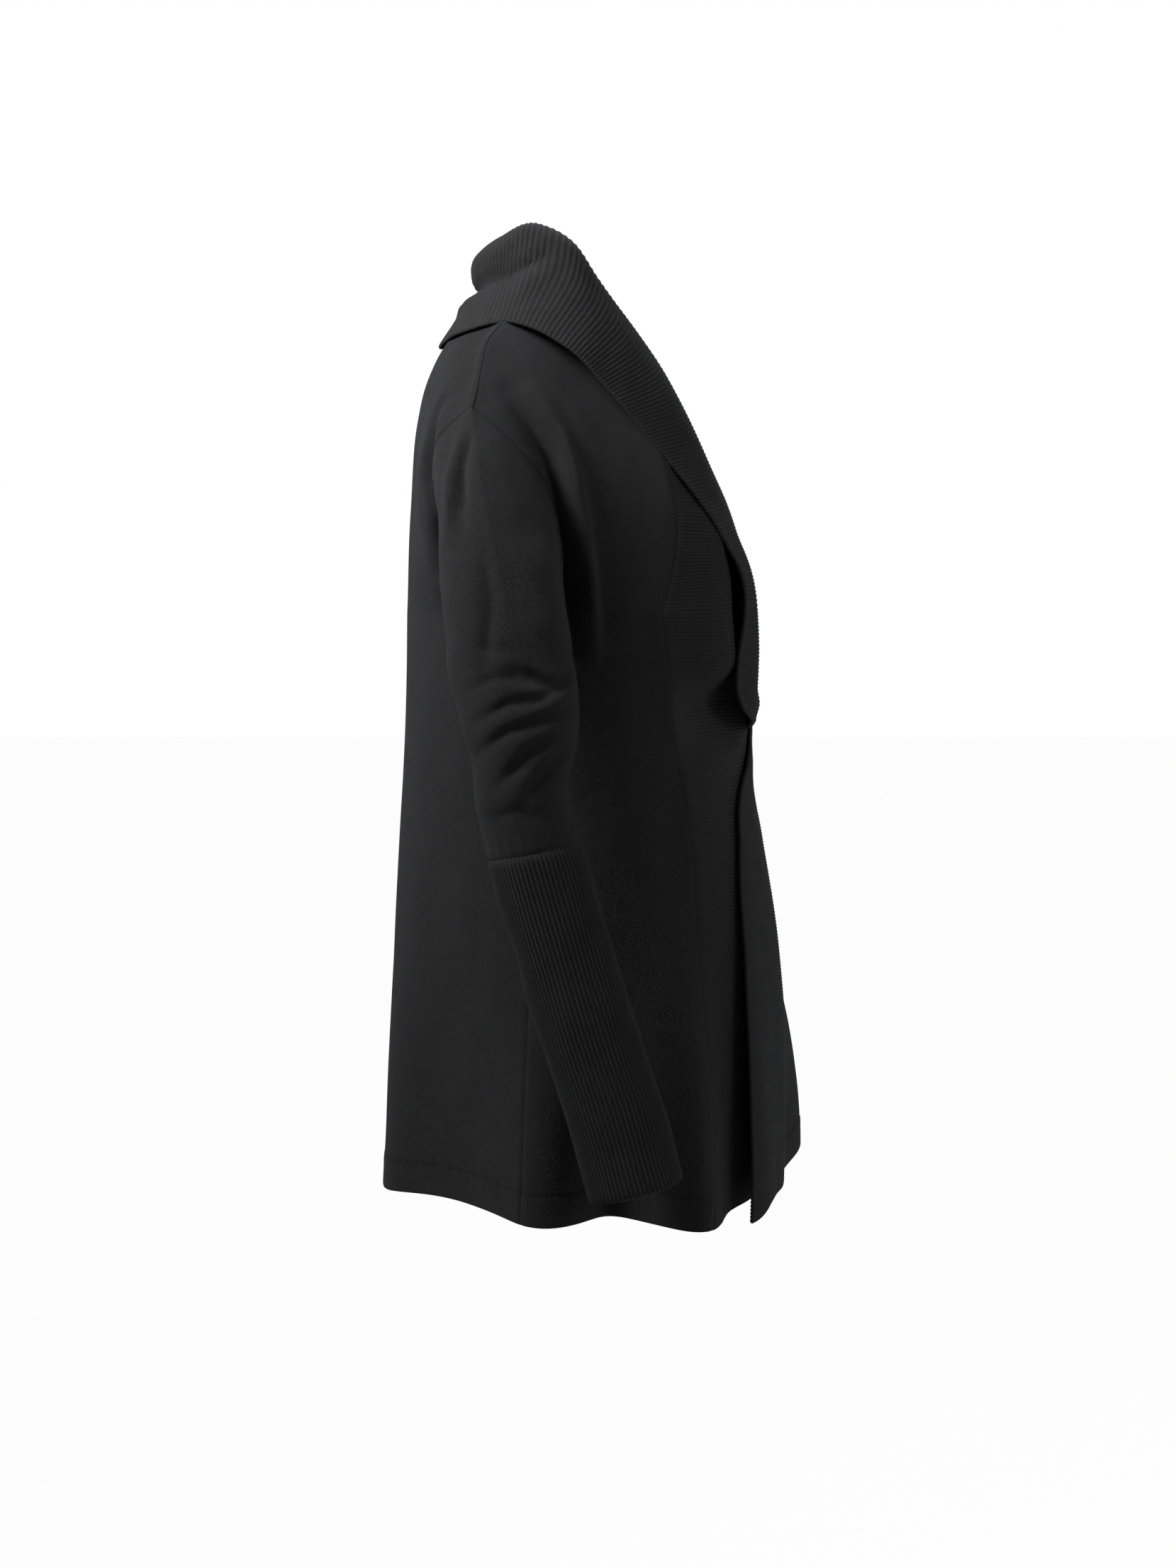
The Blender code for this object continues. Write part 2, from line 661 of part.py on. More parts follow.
def make_pieces():
    """Every piece of the cardigan, sewn edges shared."""
    back = crease_upper(back_grid(LOW_ROWS, TOP_ROWS, FRONT_COLUMNS, NECK_COLUMNS))
    back = mirrored(crease_upper(mirrored(back)))
    body_out = np.array([0.0, 1.0, 0.0])
    pieces = [Piece("back", back, JERSEY_WALL, outward=body_out,
                    sewn=("last_row", "first_column", "last_column"))]
    middle = NECK_COLUMNS + FRONT_COLUMNS
    fine = []
    for panel in ("right", "left"):
        sign = 1.0 if panel == "right" else -1.0
        front = front_grid(panel, LOW_ROWS, TOP_ROWS, FRONT_COLUMNS)
        front = crease_upper(front) if panel == "right" else mirrored(crease_upper(mirrored(front)))
        side_out = np.array([-sign, -1.0, 0.0])
        pieces.append(Piece(f"{panel}_front", front, JERSEY_WALL, outward=side_out,
                            sewn=("last_row", "first_column", "last_column")))
        neck = back[-1, middle - NECK_COLUMNS:middle + 1] if panel == "right" \
            else back[-1, middle:middle + NECK_COLUMNS + 1][::-1]
        edge = np.concatenate([front[:, 0], neck[1:]])
        low = np.arange(LOW_ROWS + 1) / LOW_ROWS
        top = 1.0 + np.arange(1, TOP_ROWS + 1) / TOP_ROWS
        behind = 2.0 + np.arange(1, NECK_COLUMNS + 1) / NECK_COLUMNS
        places = np.concatenate([low, top, behind])
        band, anchors = band_grid(panel, edge, places, BAND_RIB)
        band_out = np.zeros_like(band)
        band_out[:anchors[LOW_ROWS // 2]] = (0.0, -1.0, 0.0)
        piece = Piece(f"{panel}_collar_band", band, RIB_WALL, outward=band_out,
                      sewn=("last_row", "first_column"))
        raise_ribs(piece, anchors)
        pieces.append(piece)
        fine.append((piece, anchors))
        sleeve = crease_elbow(crease_upper(sleeve_grid(TOP_ROWS, CAP_ROWS, ARM_ROWS)))
        cuff = cuff_grid(sleeve[-1], 2 * CUFF_RIBS, CUFF_ROWS)
        limb_middle = sleeve.mean(axis=1, keepdims=True)
        cuff_middle = cuff.mean(axis=1, keepdims=True)
        sleeve_out = sleeve - limb_middle
        cuff_out = cuff - cuff_middle
        if panel == "left":
            sleeve, sleeve_out, cuff, cuff_out = (mirrored(a) for a in (sleeve, sleeve_out, cuff, cuff_out))
        pieces.append(Piece(f"{panel}_sleeve", sleeve, JERSEY_WALL, closed=True, outward=sleeve_out,
                            sewn=("first_row", "last_row"), gap=ARMHOLE_GAP))
        piece = Piece(f"{panel}_cuff", cuff, RIB_WALL, closed=True, outward=cuff_out,
                      sewn=("first_row",))
        piece.raise_out[1:, ::2] = RIB_RAISE
        pieces.append(piece)
        fine.append((piece, None))
    share_normals(pieces)
    for piece, anchors in fine:
        if anchors is None:
            step = 2 * CUFF_RIBS // (2 * TOP_ROWS)
            ease_normals(piece.normals[0], list(range(0, 2 * CUFF_RIBS + 1, step)))
        else:
            ease_normals(piece.normals[:, 0], anchors)
    return pieces


def raise_ribs(piece, anchors):
    """Ribs across the band, raised on the face that shows, which changes where it turns over."""
    rows, columns = piece.points.shape[:2]
    turned = ramp(np.arange(rows), anchors[LOW_ROWS - 3], anchors[LOW_ROWS - 1])[:, None]
    beyond = ramp(np.linspace(0.0, 1.0, columns), 0.25, 0.45)[None, :]
    under = turned * beyond
    rib = np.zeros((rows, columns))
    rib[1:-1:2, 1:] = RIB_RAISE
    piece.raise_out = rib * (1.0 - under)
    piece.raise_in = rib * under


def knit_material(name):
    material = bpy.data.materials.new(name)
    material.use_nodes = True
    shader = material.node_tree.nodes["Principled BSDF"]
    shader.inputs["Base Color"].default_value = KNIT_COLOUR
    shader.inputs["Roughness"].default_value = KNIT_ROUGHNESS
    shader.inputs["Metallic"].default_value = 0.0
    return material


def main():
    for thing in list(bpy.data.objects):
        bpy.data.objects.remove(thing, do_unlink=True)
    for piece in make_pieces():
        mesh = wall_mesh(piece)
        mesh.materials.append(knit_material(f"{piece.name}_knit"))
        thing = bpy.data.objects.new(piece.name, mesh)
        bpy.context.scene.collection.objects.link(thing)


main()
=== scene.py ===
"""Longline cardigan, worn and wrapped left over right: the dressed model.

The pieces follow the same sections and seams as the solids, with many more rows and columns,
every rib, pressed seams, a turned hem and finer folds. Metres, +Z up. The wearer faces -Y.
"""
import math

import bpy
import numpy as np
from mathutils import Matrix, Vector


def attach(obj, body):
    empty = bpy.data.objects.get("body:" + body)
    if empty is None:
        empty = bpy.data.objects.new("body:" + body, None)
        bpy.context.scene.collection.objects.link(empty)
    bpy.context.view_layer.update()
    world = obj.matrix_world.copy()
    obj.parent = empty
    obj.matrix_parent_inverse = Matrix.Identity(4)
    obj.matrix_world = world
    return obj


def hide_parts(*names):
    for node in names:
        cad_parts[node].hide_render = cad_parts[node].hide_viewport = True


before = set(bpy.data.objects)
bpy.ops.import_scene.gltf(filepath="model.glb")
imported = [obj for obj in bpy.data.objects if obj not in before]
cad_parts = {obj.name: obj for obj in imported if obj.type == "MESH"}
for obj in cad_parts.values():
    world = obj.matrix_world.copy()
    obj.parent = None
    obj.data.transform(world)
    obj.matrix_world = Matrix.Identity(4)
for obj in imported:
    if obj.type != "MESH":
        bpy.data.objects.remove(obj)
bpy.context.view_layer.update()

# Driving sizes, in metres and degrees
JERSEY_WALL = 0.0016
RIB_WALL = 0.0020
AXIS_Y = -0.050
HEM_Z = -0.757
UNDERARM_Z = -0.268
BAND_WIDTH = 0.170
SIDE_SEAM = 104.0
CUFF_RIBS = 66

# The left front lies this far over the right one, from and to these heights and angles
LAP_LIFT = 0.006
LAP_HEIGHTS = (-0.34, -0.40)
LAP_ANGLES = (-65.0, -15.0)

# The collar's roll: how far the cloth before it swells out, how far before it the cloth bends,
# and how far below it the crown stands. The places are along the band's seam.
ROLL_LOFT = 0.006
LOFT_PLACES = (0.80, 0.86)
BEND_BACK = 0.014
CROWN_DROP = 0.007
CROWN_PLACES = (1.6, 2.4)

# How far the band comes forward under its own lapel, and between which places
BAND_BELLY = 0.028
BELLY_STARTS = (0.84, 0.93)
BELLY_ENDS = (1.2, 1.5)

# Body sections: height, reach to the front, reach to the back, half width
BODY = (
    (-0.757, 0.165, 0.174, 0.207),
    (-0.650, 0.166, 0.170, 0.200),
    (-0.550, 0.159, 0.166, 0.194),
    (-0.460, 0.145, 0.161, 0.189),
    (-0.410, 0.137, 0.158, 0.187),
    (-0.375, 0.138, 0.156, 0.187),
    (-0.320, 0.145, 0.154, 0.189),
    (-0.268, 0.148, 0.153, 0.191),
)

# Hanging folds: panels it is on, angle from the front, width, reach added at the hem, top
FOLDS = (
    ("all", 66, 9, 0.038, -0.47),
    ("all", 84, 9, -0.034, -0.45),
    ("all", 100, 9, 0.022, -0.50),
    ("all", 128, 20, -0.016, -0.38),
    ("all", 158, 9, 0.005, -0.50),
    ("all", -84, 9, -0.034, -0.45),
    ("all", -101, 10, 0.020, -0.48),
    ("all", -130, 20, -0.014, -0.38),
    ("all", -163, 9, 0.006, -0.52),
    ("right", 6, 24, -0.034, -0.42),
    ("left", -38, 18, 0.054, -0.42),
    ("left", 48, 14, 0.020, -0.44),
)

# Hem lifts: panels, angle, width, lift
HEM_LIFTS = (
    ("all", 135, 25, 0.006),
    ("all", -135, 25, 0.005),
    ("all", 66, 12, -0.007),
    ("all", 98, 12, -0.004),
    ("left", -38, 16, 0.016),
    ("left", 50, 8, -0.008),
)

# Seam between a front and its band: height, angle on the right, angle on the left
BAND_SEAM = (
    (-0.757, 64, 0),
    (-0.650, 61, -4),
    (-0.550, 60, -12),
    (-0.460, 60, -24),
    (-0.430, 61, -30),
    (-0.410, 62, -38),
    (-0.390, 64, -49),
    (-0.350, 66, -63),
    (-0.310, 68, -68),
    (-0.268, 70, -70),
)

# Points of the right side, mirrored for the left. Each line runs upwards or to the middle.
NECK_POINT = (-0.085, 0.000, -0.006)
SHOULDER_POINT = (-0.205, 0.042, -0.102)
NECKLINE = ((-0.150, -0.125, -0.200), (-0.125, -0.110, -0.130),
            (-0.105, -0.075, -0.070), (-0.092, -0.035, -0.025))
BACK_NECK = ((-0.065, 0.022, -0.017), (-0.035, 0.031, -0.023), (0.0, 0.033, -0.025))
SHOULDER_SEAM = ((-0.120, 0.021, -0.030), (-0.145, 0.031, -0.045),
                 (-0.165, 0.036, -0.066), (-0.185, 0.039, -0.085))
FRONT_ARMHOLE = ((-0.196, -0.034, -0.234), (-0.203, -0.030, -0.190),
                 (-0.210, -0.004, -0.145), (-0.211, 0.021, -0.119))
BACK_ARMHOLE = ((-0.189, 0.034, -0.246), (-0.186, 0.062, -0.210),
                (-0.184, 0.076, -0.170), (-0.190, 0.070, -0.130))
BACK_YOKE = ((-0.060, 0.028, -0.022), (-0.110, 0.022, -0.034), (-0.150, 0.027, -0.056))
BACK_MIDDLE = ((0.0, 0.0985, -0.180), (0.0, 0.0930, -0.108),
               (0.0, 0.0835, -0.072), (0.0, 0.0660, -0.0455))

# The back's top is fuller under the collar: how far, the distances from the middle between
# which it sets in and ends, and the shares of the height where it and the top's turns set in
YOKE_SWELL = (0.0, 0.0055, 0.0055)
SWELL_STARTS = (0.02, 0.06)
SWELL_ENDS = (0.10, 0.17)
SWELL_RISES = (0.70, 0.94)
TOP_TURNS = (0.92, 1.0)

# Turned collar: place along the seam, then where it rolls, falls and ends.
# The place is 0 at the hem, 1 at the underarm, 2 at the shoulder and 3 at the middle back.
COLLAR = (
    (0.778, (-0.060, -0.1775, -0.377), (-0.030, -0.1845, -0.376), (-0.004, -0.1865, -0.375)),
    (0.806, (-0.040, -0.179, -0.363), (-0.028, -0.185, -0.3635), (-0.022, -0.188, -0.366)),
    (0.833, (-0.037, -0.181, -0.350), (-0.032, -0.188, -0.351), (-0.052, -0.189, -0.359)),
    (0.861, (-0.039, -0.1845, -0.334), (-0.046, -0.1905, -0.336), (-0.085, -0.180, -0.347)),
    (0.889, (-0.044, -0.188, -0.319), (-0.060, -0.192, -0.322), (-0.103, -0.174, -0.330)),
    (0.914, (-0.049, -0.189, -0.306), (-0.070, -0.192, -0.309), (-0.111, -0.174, -0.314)),
    (1.000, (-0.054, -0.186, -0.262), (-0.076, -0.191, -0.264), (-0.113, -0.180, -0.266)),
    (1.224, (-0.056, -0.160, -0.192), (-0.080, -0.171, -0.197), (-0.118, -0.161, -0.204)),
    (1.457, (-0.056, -0.133, -0.122), (-0.084, -0.143, -0.131), (-0.127, -0.116, -0.141)),
    (1.681, (-0.057, -0.099, -0.050), (-0.086, -0.107, -0.063), (-0.132, -0.071, -0.088)),
    (1.871, (-0.060, -0.056, 0.012), (-0.089, -0.058, -0.004), (-0.131, -0.031, -0.0485)),
    (1.940, (-0.061, -0.037, 0.041), (-0.087, -0.036, 0.020), (-0.127, -0.010, -0.0360)),
    (2.000, (-0.059, -0.012, 0.0545), (-0.083, -0.008, 0.032), (-0.119, 0.010, -0.0290)),
    (2.350, (-0.0465, 0.015, 0.045), (-0.067, 0.025, 0.018), (-0.094, 0.0475, -0.0335)),
    (2.700, (-0.022, 0.0275, 0.037), (-0.035, 0.042, 0.010), (-0.049, 0.0685, -0.0390)),
    (3.000, (0.0, 0.031, 0.0335), (0.0, 0.0440, 0.005), (0.0, 0.0755, -0.0410)),
)

# Share of the flat band that lies before its roll
FLAT_ROLL = 0.72

# Angle that holds the flat band's whole width, and points on dense lines of the band
FLAT_SWEEP = 80.0
FLAT_POINTS = 160
TURNED_POINTS = 120

# One place of the back neck beside one of the front, along the seam
NECK_PACE = 0.31

# Places between which the band starts to turn over
TURN_OVER = {"right": (0.72, 0.81), "left": (0.74, 0.83)}

# How far the left lapel stands in front of the right one, along the same seam
LEFT_FORWARD = ((0.78, 0.0065), (0.84, 0.006), (1.0, 0.006), (1.3, 0.009), (1.6, 0.005),
                (2.0, 0.0), (3.0, 0.0))

# Its free edge comes back half the way, between these places
EDGE_FOLLOWS = (0.85, 1.0)

# Sleeve sections: middle, half depth front to back, half thickness side to side
SLEEVE = (
    ((-0.259, 0.0090, -0.302), 0.0495, 0.0430),
    ((-0.264, 0.0040, -0.333), 0.0485, 0.0435),
    ((-0.268, 0.0000, -0.364), 0.0445, 0.0420),
    ((-0.269, 0.0005, -0.405), 0.0370, 0.0370),
    ((-0.267, -0.0090, -0.452), 0.0370, 0.0350),
)
CUFF = (
    ((-0.267, -0.0090, -0.452), 0.0370, 0.0350),
    ((-0.265, -0.0300, -0.525), 0.0372, 0.0345),
    ((-0.263, -0.0540, -0.604), 0.0372, 0.0345),
    ((-0.262, -0.0740, -0.664), 0.0374, 0.0345),
    ((-0.262, -0.0900, -0.722), 0.0376, 0.0350),
)

# Ways the sleeve leaves the armhole and arrives at the arm's first section
CAP_LEAVE = np.array([-0.84, -0.02, -0.54])
CAP_ARRIVE = np.array([-0.10, -0.10, -0.99])

# The shoulder's creases are pressed towards this place (x, y), and set in between these
# distances from the middle
CREASE_MIDDLE = np.array([-0.080, 0.0])
CREASE_SETS_IN = (0.09, 0.17)

# An elbow crease sets in between these distances from the sleeve's middle. The sleeve's inner
# side has the same creases, moved and softer.
ELBOW_ROUND = (0.0, 0.03)
INNER_SHIFT = np.array([0.004, 0.007])
INNER_SOFTER = 0.6

# A crease keeps this share of its depth at its ends, and reaches its full depth this far in
END_DEPTH = 0.35
END_SHARE = 0.3

# Creases seen from the side: half width, depth (ridges negative), then points (y, z)
UPPER_CREASES = (
    (0.0042, 0.0165, ((0.070, -0.095), (0.078, -0.111), (0.081, -0.158), (0.0735, -0.187),
                      (0.0705, -0.235))),
    (0.0045, -0.0050, ((0.045, -0.110), (0.057, -0.160), (0.061, -0.209))),
    (0.0045, 0.0070, ((0.040, -0.120), (0.047, -0.150), (0.048, -0.200))),
    (0.0065, 0.0150, ((0.0155, -0.088), (0.003, -0.108), (-0.0055, -0.121), (-0.0195, -0.1450),
                      (-0.032, -0.190), (-0.038, -0.2475), (-0.043, -0.300))),
    (0.0065, -0.0115, ((-0.0060, -0.088), (-0.0145, -0.100), (-0.029, -0.123), (-0.039, -0.155),
                       (-0.0460, -0.205), (-0.0520, -0.257), (-0.0560, -0.300))),
    (0.0060, 0.0045, ((0.030, -0.215), (0.024, -0.260), (0.028, -0.310))),
)
ELBOW_CREASES = (
    (0.0045, 0.0025, ((0.038, -0.292), (0.017, -0.2955), (0.005, -0.298))),
    (0.0052, 0.0050, ((0.005, -0.310), (-0.017, -0.321), (-0.028, -0.322), (-0.0435, -0.312))),
    (0.0048, 0.0030, ((0.038, -0.325), (0.020, -0.3165), (-0.005, -0.3165))),
    (0.0050, 0.0048, ((0.036, -0.352), (0.011, -0.337), (-0.0135, -0.333), (-0.040, -0.319))),
    (0.0052, 0.0052, ((0.034, -0.376), (0.011, -0.358), (-0.019, -0.349), (-0.046, -0.337))),
    (0.0055, 0.0050, ((0.020, -0.403), (-0.005, -0.376), (-0.0315, -0.358))),
    (0.0052, 0.0040, ((-0.001, -0.415), (-0.019, -0.388), (-0.040, -0.367))),
    (0.0060, 0.0025, ((0.026, -0.428), (0.006, -0.420), (-0.020, -0.426))),
)

# The collar's second roll at the back, and the swell below it
COLLAR_CREASES = (
    (0.0055, 0.0120, ((0.075, 0.000), (0.046, 0.002), (0.022, 0.008), (0.011, 0.0115),
                      (-0.015, 0.025))),
    (0.0080, -0.0060, ((0.075, -0.010), (0.046, -0.008), (0.022, -0.0015), (0.010, 0.003),
                       (-0.015, 0.015))),
)

# The collar's creases are pressed towards this place (x, y). They set in between these shares
# of the part beyond the roll, and between these places along the seam.
COLLAR_MIDDLE = np.array([0.0, -0.010])
BEYOND_ROLL = (0.0, 0.2)
COLLAR_SETS_IN = (1.5, 1.9)

# The far side's creases are a little softer than the near side's
LEFT_SOFTER = 0.85


def ramp(value, start, end):
    """0 at start, 1 at end, with soft ends."""
    f = np.clip((value - start) / (end - start), 0.0, 1.0)
    return f * f * (3.0 - 2.0 * f)


def unit(vector):
    return vector / np.linalg.norm(vector)


def follow(knots, values, places):
    """Read a smooth curve through values at knots."""
    knots = np.asarray(knots, float)
    values = np.asarray(values, float)
    places = np.clip(np.asarray(places, float), knots[0], knots[-1])
    slopes = np.gradient(values, knots, axis=0)
    cell = np.clip(np.searchsorted(knots, places, side="right") - 1, 0, len(knots) - 2)
    span = knots[cell + 1] - knots[cell]
    f = (places - knots[cell]) / span
    if values.ndim == 2:
        f = f[..., None]
        span = span[..., None]
    near = (1 + 2 * f) * (1 - f) ** 2 * values[cell] + f * (1 - f) ** 2 * span * slopes[cell]
    far = f * f * (3 - 2 * f) * values[cell + 1] + f * f * (f - 1) * span * slopes[cell + 1]
    return near + far


def lengths(points):
    """Distance along a line of points, at each point."""
    steps = np.linalg.norm(np.diff(points, axis=0), axis=1)
    return np.concatenate([[0.0], np.cumsum(steps)])


def line_through(points, share):
    """Smooth line through points, read at shares of its length."""
    points = np.asarray(points, float)
    knots = lengths(points)
    return follow(knots / knots[-1], points, share)


def spread(points, share):
    """Points at shares of the length of a dense line."""
    along = lengths(points)
    return np.stack([np.interp(share * along[-1], along, points[:, k]) for k in range(3)], axis=1)


def mirrored(points):
    """The same points on the wearer's left."""
    return np.asarray(points, float) * np.array([-1.0, 1.0, 1.0])


# Body

def reach(angle, height, panel):
    """Distance of the cloth from the body's middle line at an angle from the front."""
    table = np.array(BODY)
    front, back, half = (follow(table[::1, 0], table[:, k], height) for k in (1, 2, 3))
    turn = np.radians(angle)
    depth = np.where(np.cos(turn) > 0, front, back)
    base = 1.0 / np.sqrt((np.sin(turn) / half) ** 2 + (np.cos(turn) / depth) ** 2)
    for where, middle, width, amount, top in FOLDS:
        if where in ("all", panel):
            base = base + amount * np.exp(-((angle - middle) / width) ** 2) * ramp(height, top, HEM_Z)
    if panel == "left":
        base = base + LAP_LIFT * ramp(height, *LAP_HEIGHTS) * ramp(angle, *LAP_ANGLES)
    return base


def body_point(angle, level, panel):
    """Point on a panel at a level from 0, the hem, to 1, the underarm."""
    angle = np.asarray(angle, float)
    hem = np.full(angle.shape, HEM_Z)
    for where, middle, width, lift in HEM_LIFTS:
        if where in ("all", panel):
            hem = hem + lift * np.exp(-((angle - middle) / width) ** 2)
    plain = HEM_Z + (UNDERARM_Z - HEM_Z) * level
    radius = reach(angle, np.full(angle.shape, plain), panel)
    turn = np.radians(angle)
    height = hem + (UNDERARM_Z - hem) * level
    return np.stack([-radius * np.sin(turn), AXIS_Y - radius * np.cos(turn), height], axis=-1)


def seam_angle(level, panel):
    """Angle of the seam between a front and its band."""
    table = np.array(BAND_SEAM, float)
    height = HEM_Z + (UNDERARM_Z - HEM_Z) * level
    return follow(table[:, 0], table[:, 1 if panel == "right" else 2], height)


def underarm():
    return body_point(SIDE_SEAM, 1.0, "right")


def neckline(share):
    start = body_point(seam_angle(1.0, "right"), 1.0, "right")
    return line_through([start, *NECKLINE, NECK_POINT], share)


def shoulder_seam(share):
    return line_through([NECK_POINT, *SHOULDER_SEAM, SHOULDER_POINT], share)


def armhole(share, points):
    return line_through([underarm(), *points, SHOULDER_POINT], share)


def yoke_swell(top):
    """How far the back's top is fuller, under the collar's edge, and none at the armhole."""
    fade = ramp(-top[:, 0], *SWELL_STARTS) * (1.0 - ramp(-top[:, 0], *SWELL_ENDS))
    return fade[:, None] * np.array(YOKE_SWELL)


def yoke_line(top):
    """Plain line across the back's top, at the same places from side to side as the top."""
    line = line_through([BACK_NECK[-1], *BACK_YOKE, SHOULDER_POINT], np.linspace(0.0, 1.0, 60))
    level = [np.interp(-top[:, 0], -line[:, 0], line[:, k]) for k in (1, 2)]
    return np.stack([top[:, 0], *level], axis=1)


def patch(across, up, bottom, top, first, last, plain=None, swell=None):
    """Surface between four lines; its cross lines leave both sides level.

    Where a plain line is given, the top's own turns from it fade out just below the top, and
    the swell is added to it there.
    """
    a = across[None, :, None]
    u = up[:, None, None]
    h = ramp(a, 0.0, 1.0)
    plain = top if plain is None else plain
    level = plain[None] if swell is None else plain[None] + ramp(u, *SWELL_RISES) * swell[None]
    sides = (1 - u) * bottom[None] + u * level + ramp(u, *TOP_TURNS) * (top[None] - level)
    lean_first = first[:, None] - (1 - u) * first[0] - u * first[-1]
    lean_last = last[:, None] - (1 - u) * last[0] - u * last[-1]
    return sides + (1 - h) * lean_first + h * lean_last


# Band and collar

def flat_section(place, panel):
    """Dense line of the band lying on the body, from its seam to its free edge."""
    start = seam_angle(place, panel)
    sign = 1.0 if panel == "right" else -1.0
    points = body_point(start - sign * np.linspace(0.0, FLAT_SWEEP, FLAT_POINTS), place, panel)
    share = np.linspace(0.0, 1.0, FLAT_POINTS // 2)
    return spread(points, share * BAND_WIDTH / lengths(points)[-1])


def seam_way(place):
    """Distance along the seam, where the neck's places lie closer than the front's."""
    return min(place, 2.0) + NECK_PACE * max(place - 2.0, 0.0)


def turned_section(place, panel, seam):
    """Dense line of the collar turned over, and the share of it that lies before the roll."""
    ways = [seam_way(row[0]) for row in COLLAR]
    way = seam_way(place)
    roll, fall, edge = (follow(ways, [row[k] for row in COLLAR], way) for k in (1, 2, 3))
    if panel == "left":
        table = np.array(LEFT_FORWARD)
        forward = np.array([0.0, -follow(table[:, 0], table[:, 1], place), 0.0])
        roll = mirrored(roll) + forward
        fall = mirrored(fall) + forward
        edge = mirrored(edge) + (1.0 - 0.5 * ramp(place, *EDGE_FOLLOWS)) * forward
    climb = unit(roll - seam)
    loft = ROLL_LOFT * ramp(place, *LOFT_PLACES)
    away = unit(seam + climb * ((fall - seam) @ climb) - fall)
    under = loft * away
    belly = BAND_BELLY * ramp(place, *BELLY_STARTS) * (1.0 - ramp(place, *BELLY_ENDS))
    rise = seam + 0.5 * (roll - seam) + under - belly * away
    bend = roll - BEND_BACK * climb + under
    upright = np.array([fall[0], fall[1], roll[2] - CROWN_DROP])
    plain = [seam, rise, bend, roll, fall, edge]
    knots = lengths(np.array(plain))
    crown = line_through(plain, 0.5 * (knots[3] + knots[4]) / knots[-1])
    crown = crown + (upright - crown) * ramp(place, *CROWN_PLACES)
    line = [seam, rise, bend, roll, crown, fall, edge]
    knots = lengths(np.array(line))
    share = np.linspace(0.0, 1.0, TURNED_POINTS)
    dense = line_through(line, share)
    along = lengths(dense)
    before = np.interp(knots[3] / knots[-1], share, along) / along[-1]
    return dense, before


def band_section(place, panel, seam):
    """One row of the band, closer together at the roll."""
    flat = flat_section(min(place, 1.0), panel)
    turned, before = turned_section(place, panel, seam)
    start, end = TURN_OVER[panel]
    weight = ramp(place, start, end)
    before = FLAT_ROLL + (before - FLAT_ROLL) * weight
    share = np.concatenate([before * np.array(TO_ROLL), before + (1.0 - before) * np.array(FROM_ROLL)])
    points = spread(flat, share) * (1.0 - weight) + spread(turned, share) * weight
    return points + (seam - points[0]) * ((1.0 - share) ** 3)[:, None]


# Sleeve and cuff

def tube_ring(table, share, count):
    """Ring across a limb at a share of its length, from its outer point towards the front."""
    middles = np.array([row[0] for row in table])
    knots = lengths(middles) / lengths(middles)[-1]
    middle = follow(knots, middles, share)
    depth = follow(knots, [row[1] for row in table], share)
    thick = follow(knots, [row[2] for row in table], share)
    down = follow(knots, middles, min(share + 0.02, 1.0)) - follow(knots, middles, max(share - 0.02, 0.0))
    forward = unit(np.cross(unit(down), (1.0, 0.0, 0.0)))
    outward = unit(np.cross(down, forward))
    turn = 2.0 * math.pi * np.arange(count) / count
    return middle + depth * np.sin(turn)[:, None] * forward + thick * np.cos(turn)[:, None] * outward


def sleeve_grid(half_count, cap, arm):
    """Right sleeve: rows from the armhole down to the cuff seam."""
    share = np.linspace(1.0, 0.0, half_count + 1)
    front = armhole(share, FRONT_ARMHOLE)
    back = armhole(share[::-1], BACK_ARMHOLE)
    opening = np.concatenate([front[:-1], back[:-1]])
    count = 2 * half_count
    first = tube_ring(SLEEVE, 0.0, count)
    gap = np.linalg.norm(first - opening, axis=1)[:, None]
    leave = CAP_LEAVE * gap
    arrive = CAP_ARRIVE * gap
    rows = []
    for f in np.linspace(0.0, 1.0, cap + 1)[:-1]:
        start = (1 + 2 * f) * (1 - f) ** 2 * opening + f * (1 - f) ** 2 * leave
        end = f * f * (3 - 2 * f) * first + f * f * (f - 1) * arrive
        rows.append(start + end)
    for f in np.linspace(0.0, 1.0, arm + 1):
        rows.append(tube_ring(SLEEVE, f, count))
    return np.array(rows)


def cuff_grid(seam, around, rows):
    """Right cuff: its first ring lies on the sleeve's last one."""
    count = len(seam)
    per_side = around // count
    f = np.arange(per_side)[:, None] / per_side
    following = np.roll(seam, -1, axis=0)
    edge = np.concatenate([a + (b - a) * f for a, b in zip(seam, following)])
    rings = [edge]
    for share in np.linspace(0.0, 1.0, rows + 1)[1:]:
        rings.append(tube_ring(CUFF, share, around))
    return np.array(rings)


# Creases

def crease_depth(places, creases, strength=1.0):
    """Depth of soft troughs along lines, at places (y, z)."""
    depth = np.zeros(places.shape[:-1])
    for width, amount, line in creases:
        line = np.array(line)
        along = lengths(line)
        nearest = np.full(places.shape[:-1], np.inf)
        position = np.zeros(places.shape[:-1])
        for k in range(len(line) - 1):
            step = line[k + 1] - line[k]
            f = np.clip(((places - line[k]) @ step) / (step @ step), 0.0, 1.0)
            gap = np.linalg.norm(places - line[k] - f[..., None] * step, axis=-1)
            closer = gap < nearest
            nearest = np.where(closer, gap, nearest)
            position = np.where(closer, along[k] + f * (along[k + 1] - along[k]), position)
        from_end = np.minimum(position, along[-1] - position) / along[-1]
        kept = END_DEPTH + (1.0 - END_DEPTH) * ramp(from_end, 0.0, END_SHARE)
        depth += amount * np.exp(-(nearest / width) ** 2) * kept
    return strength * depth


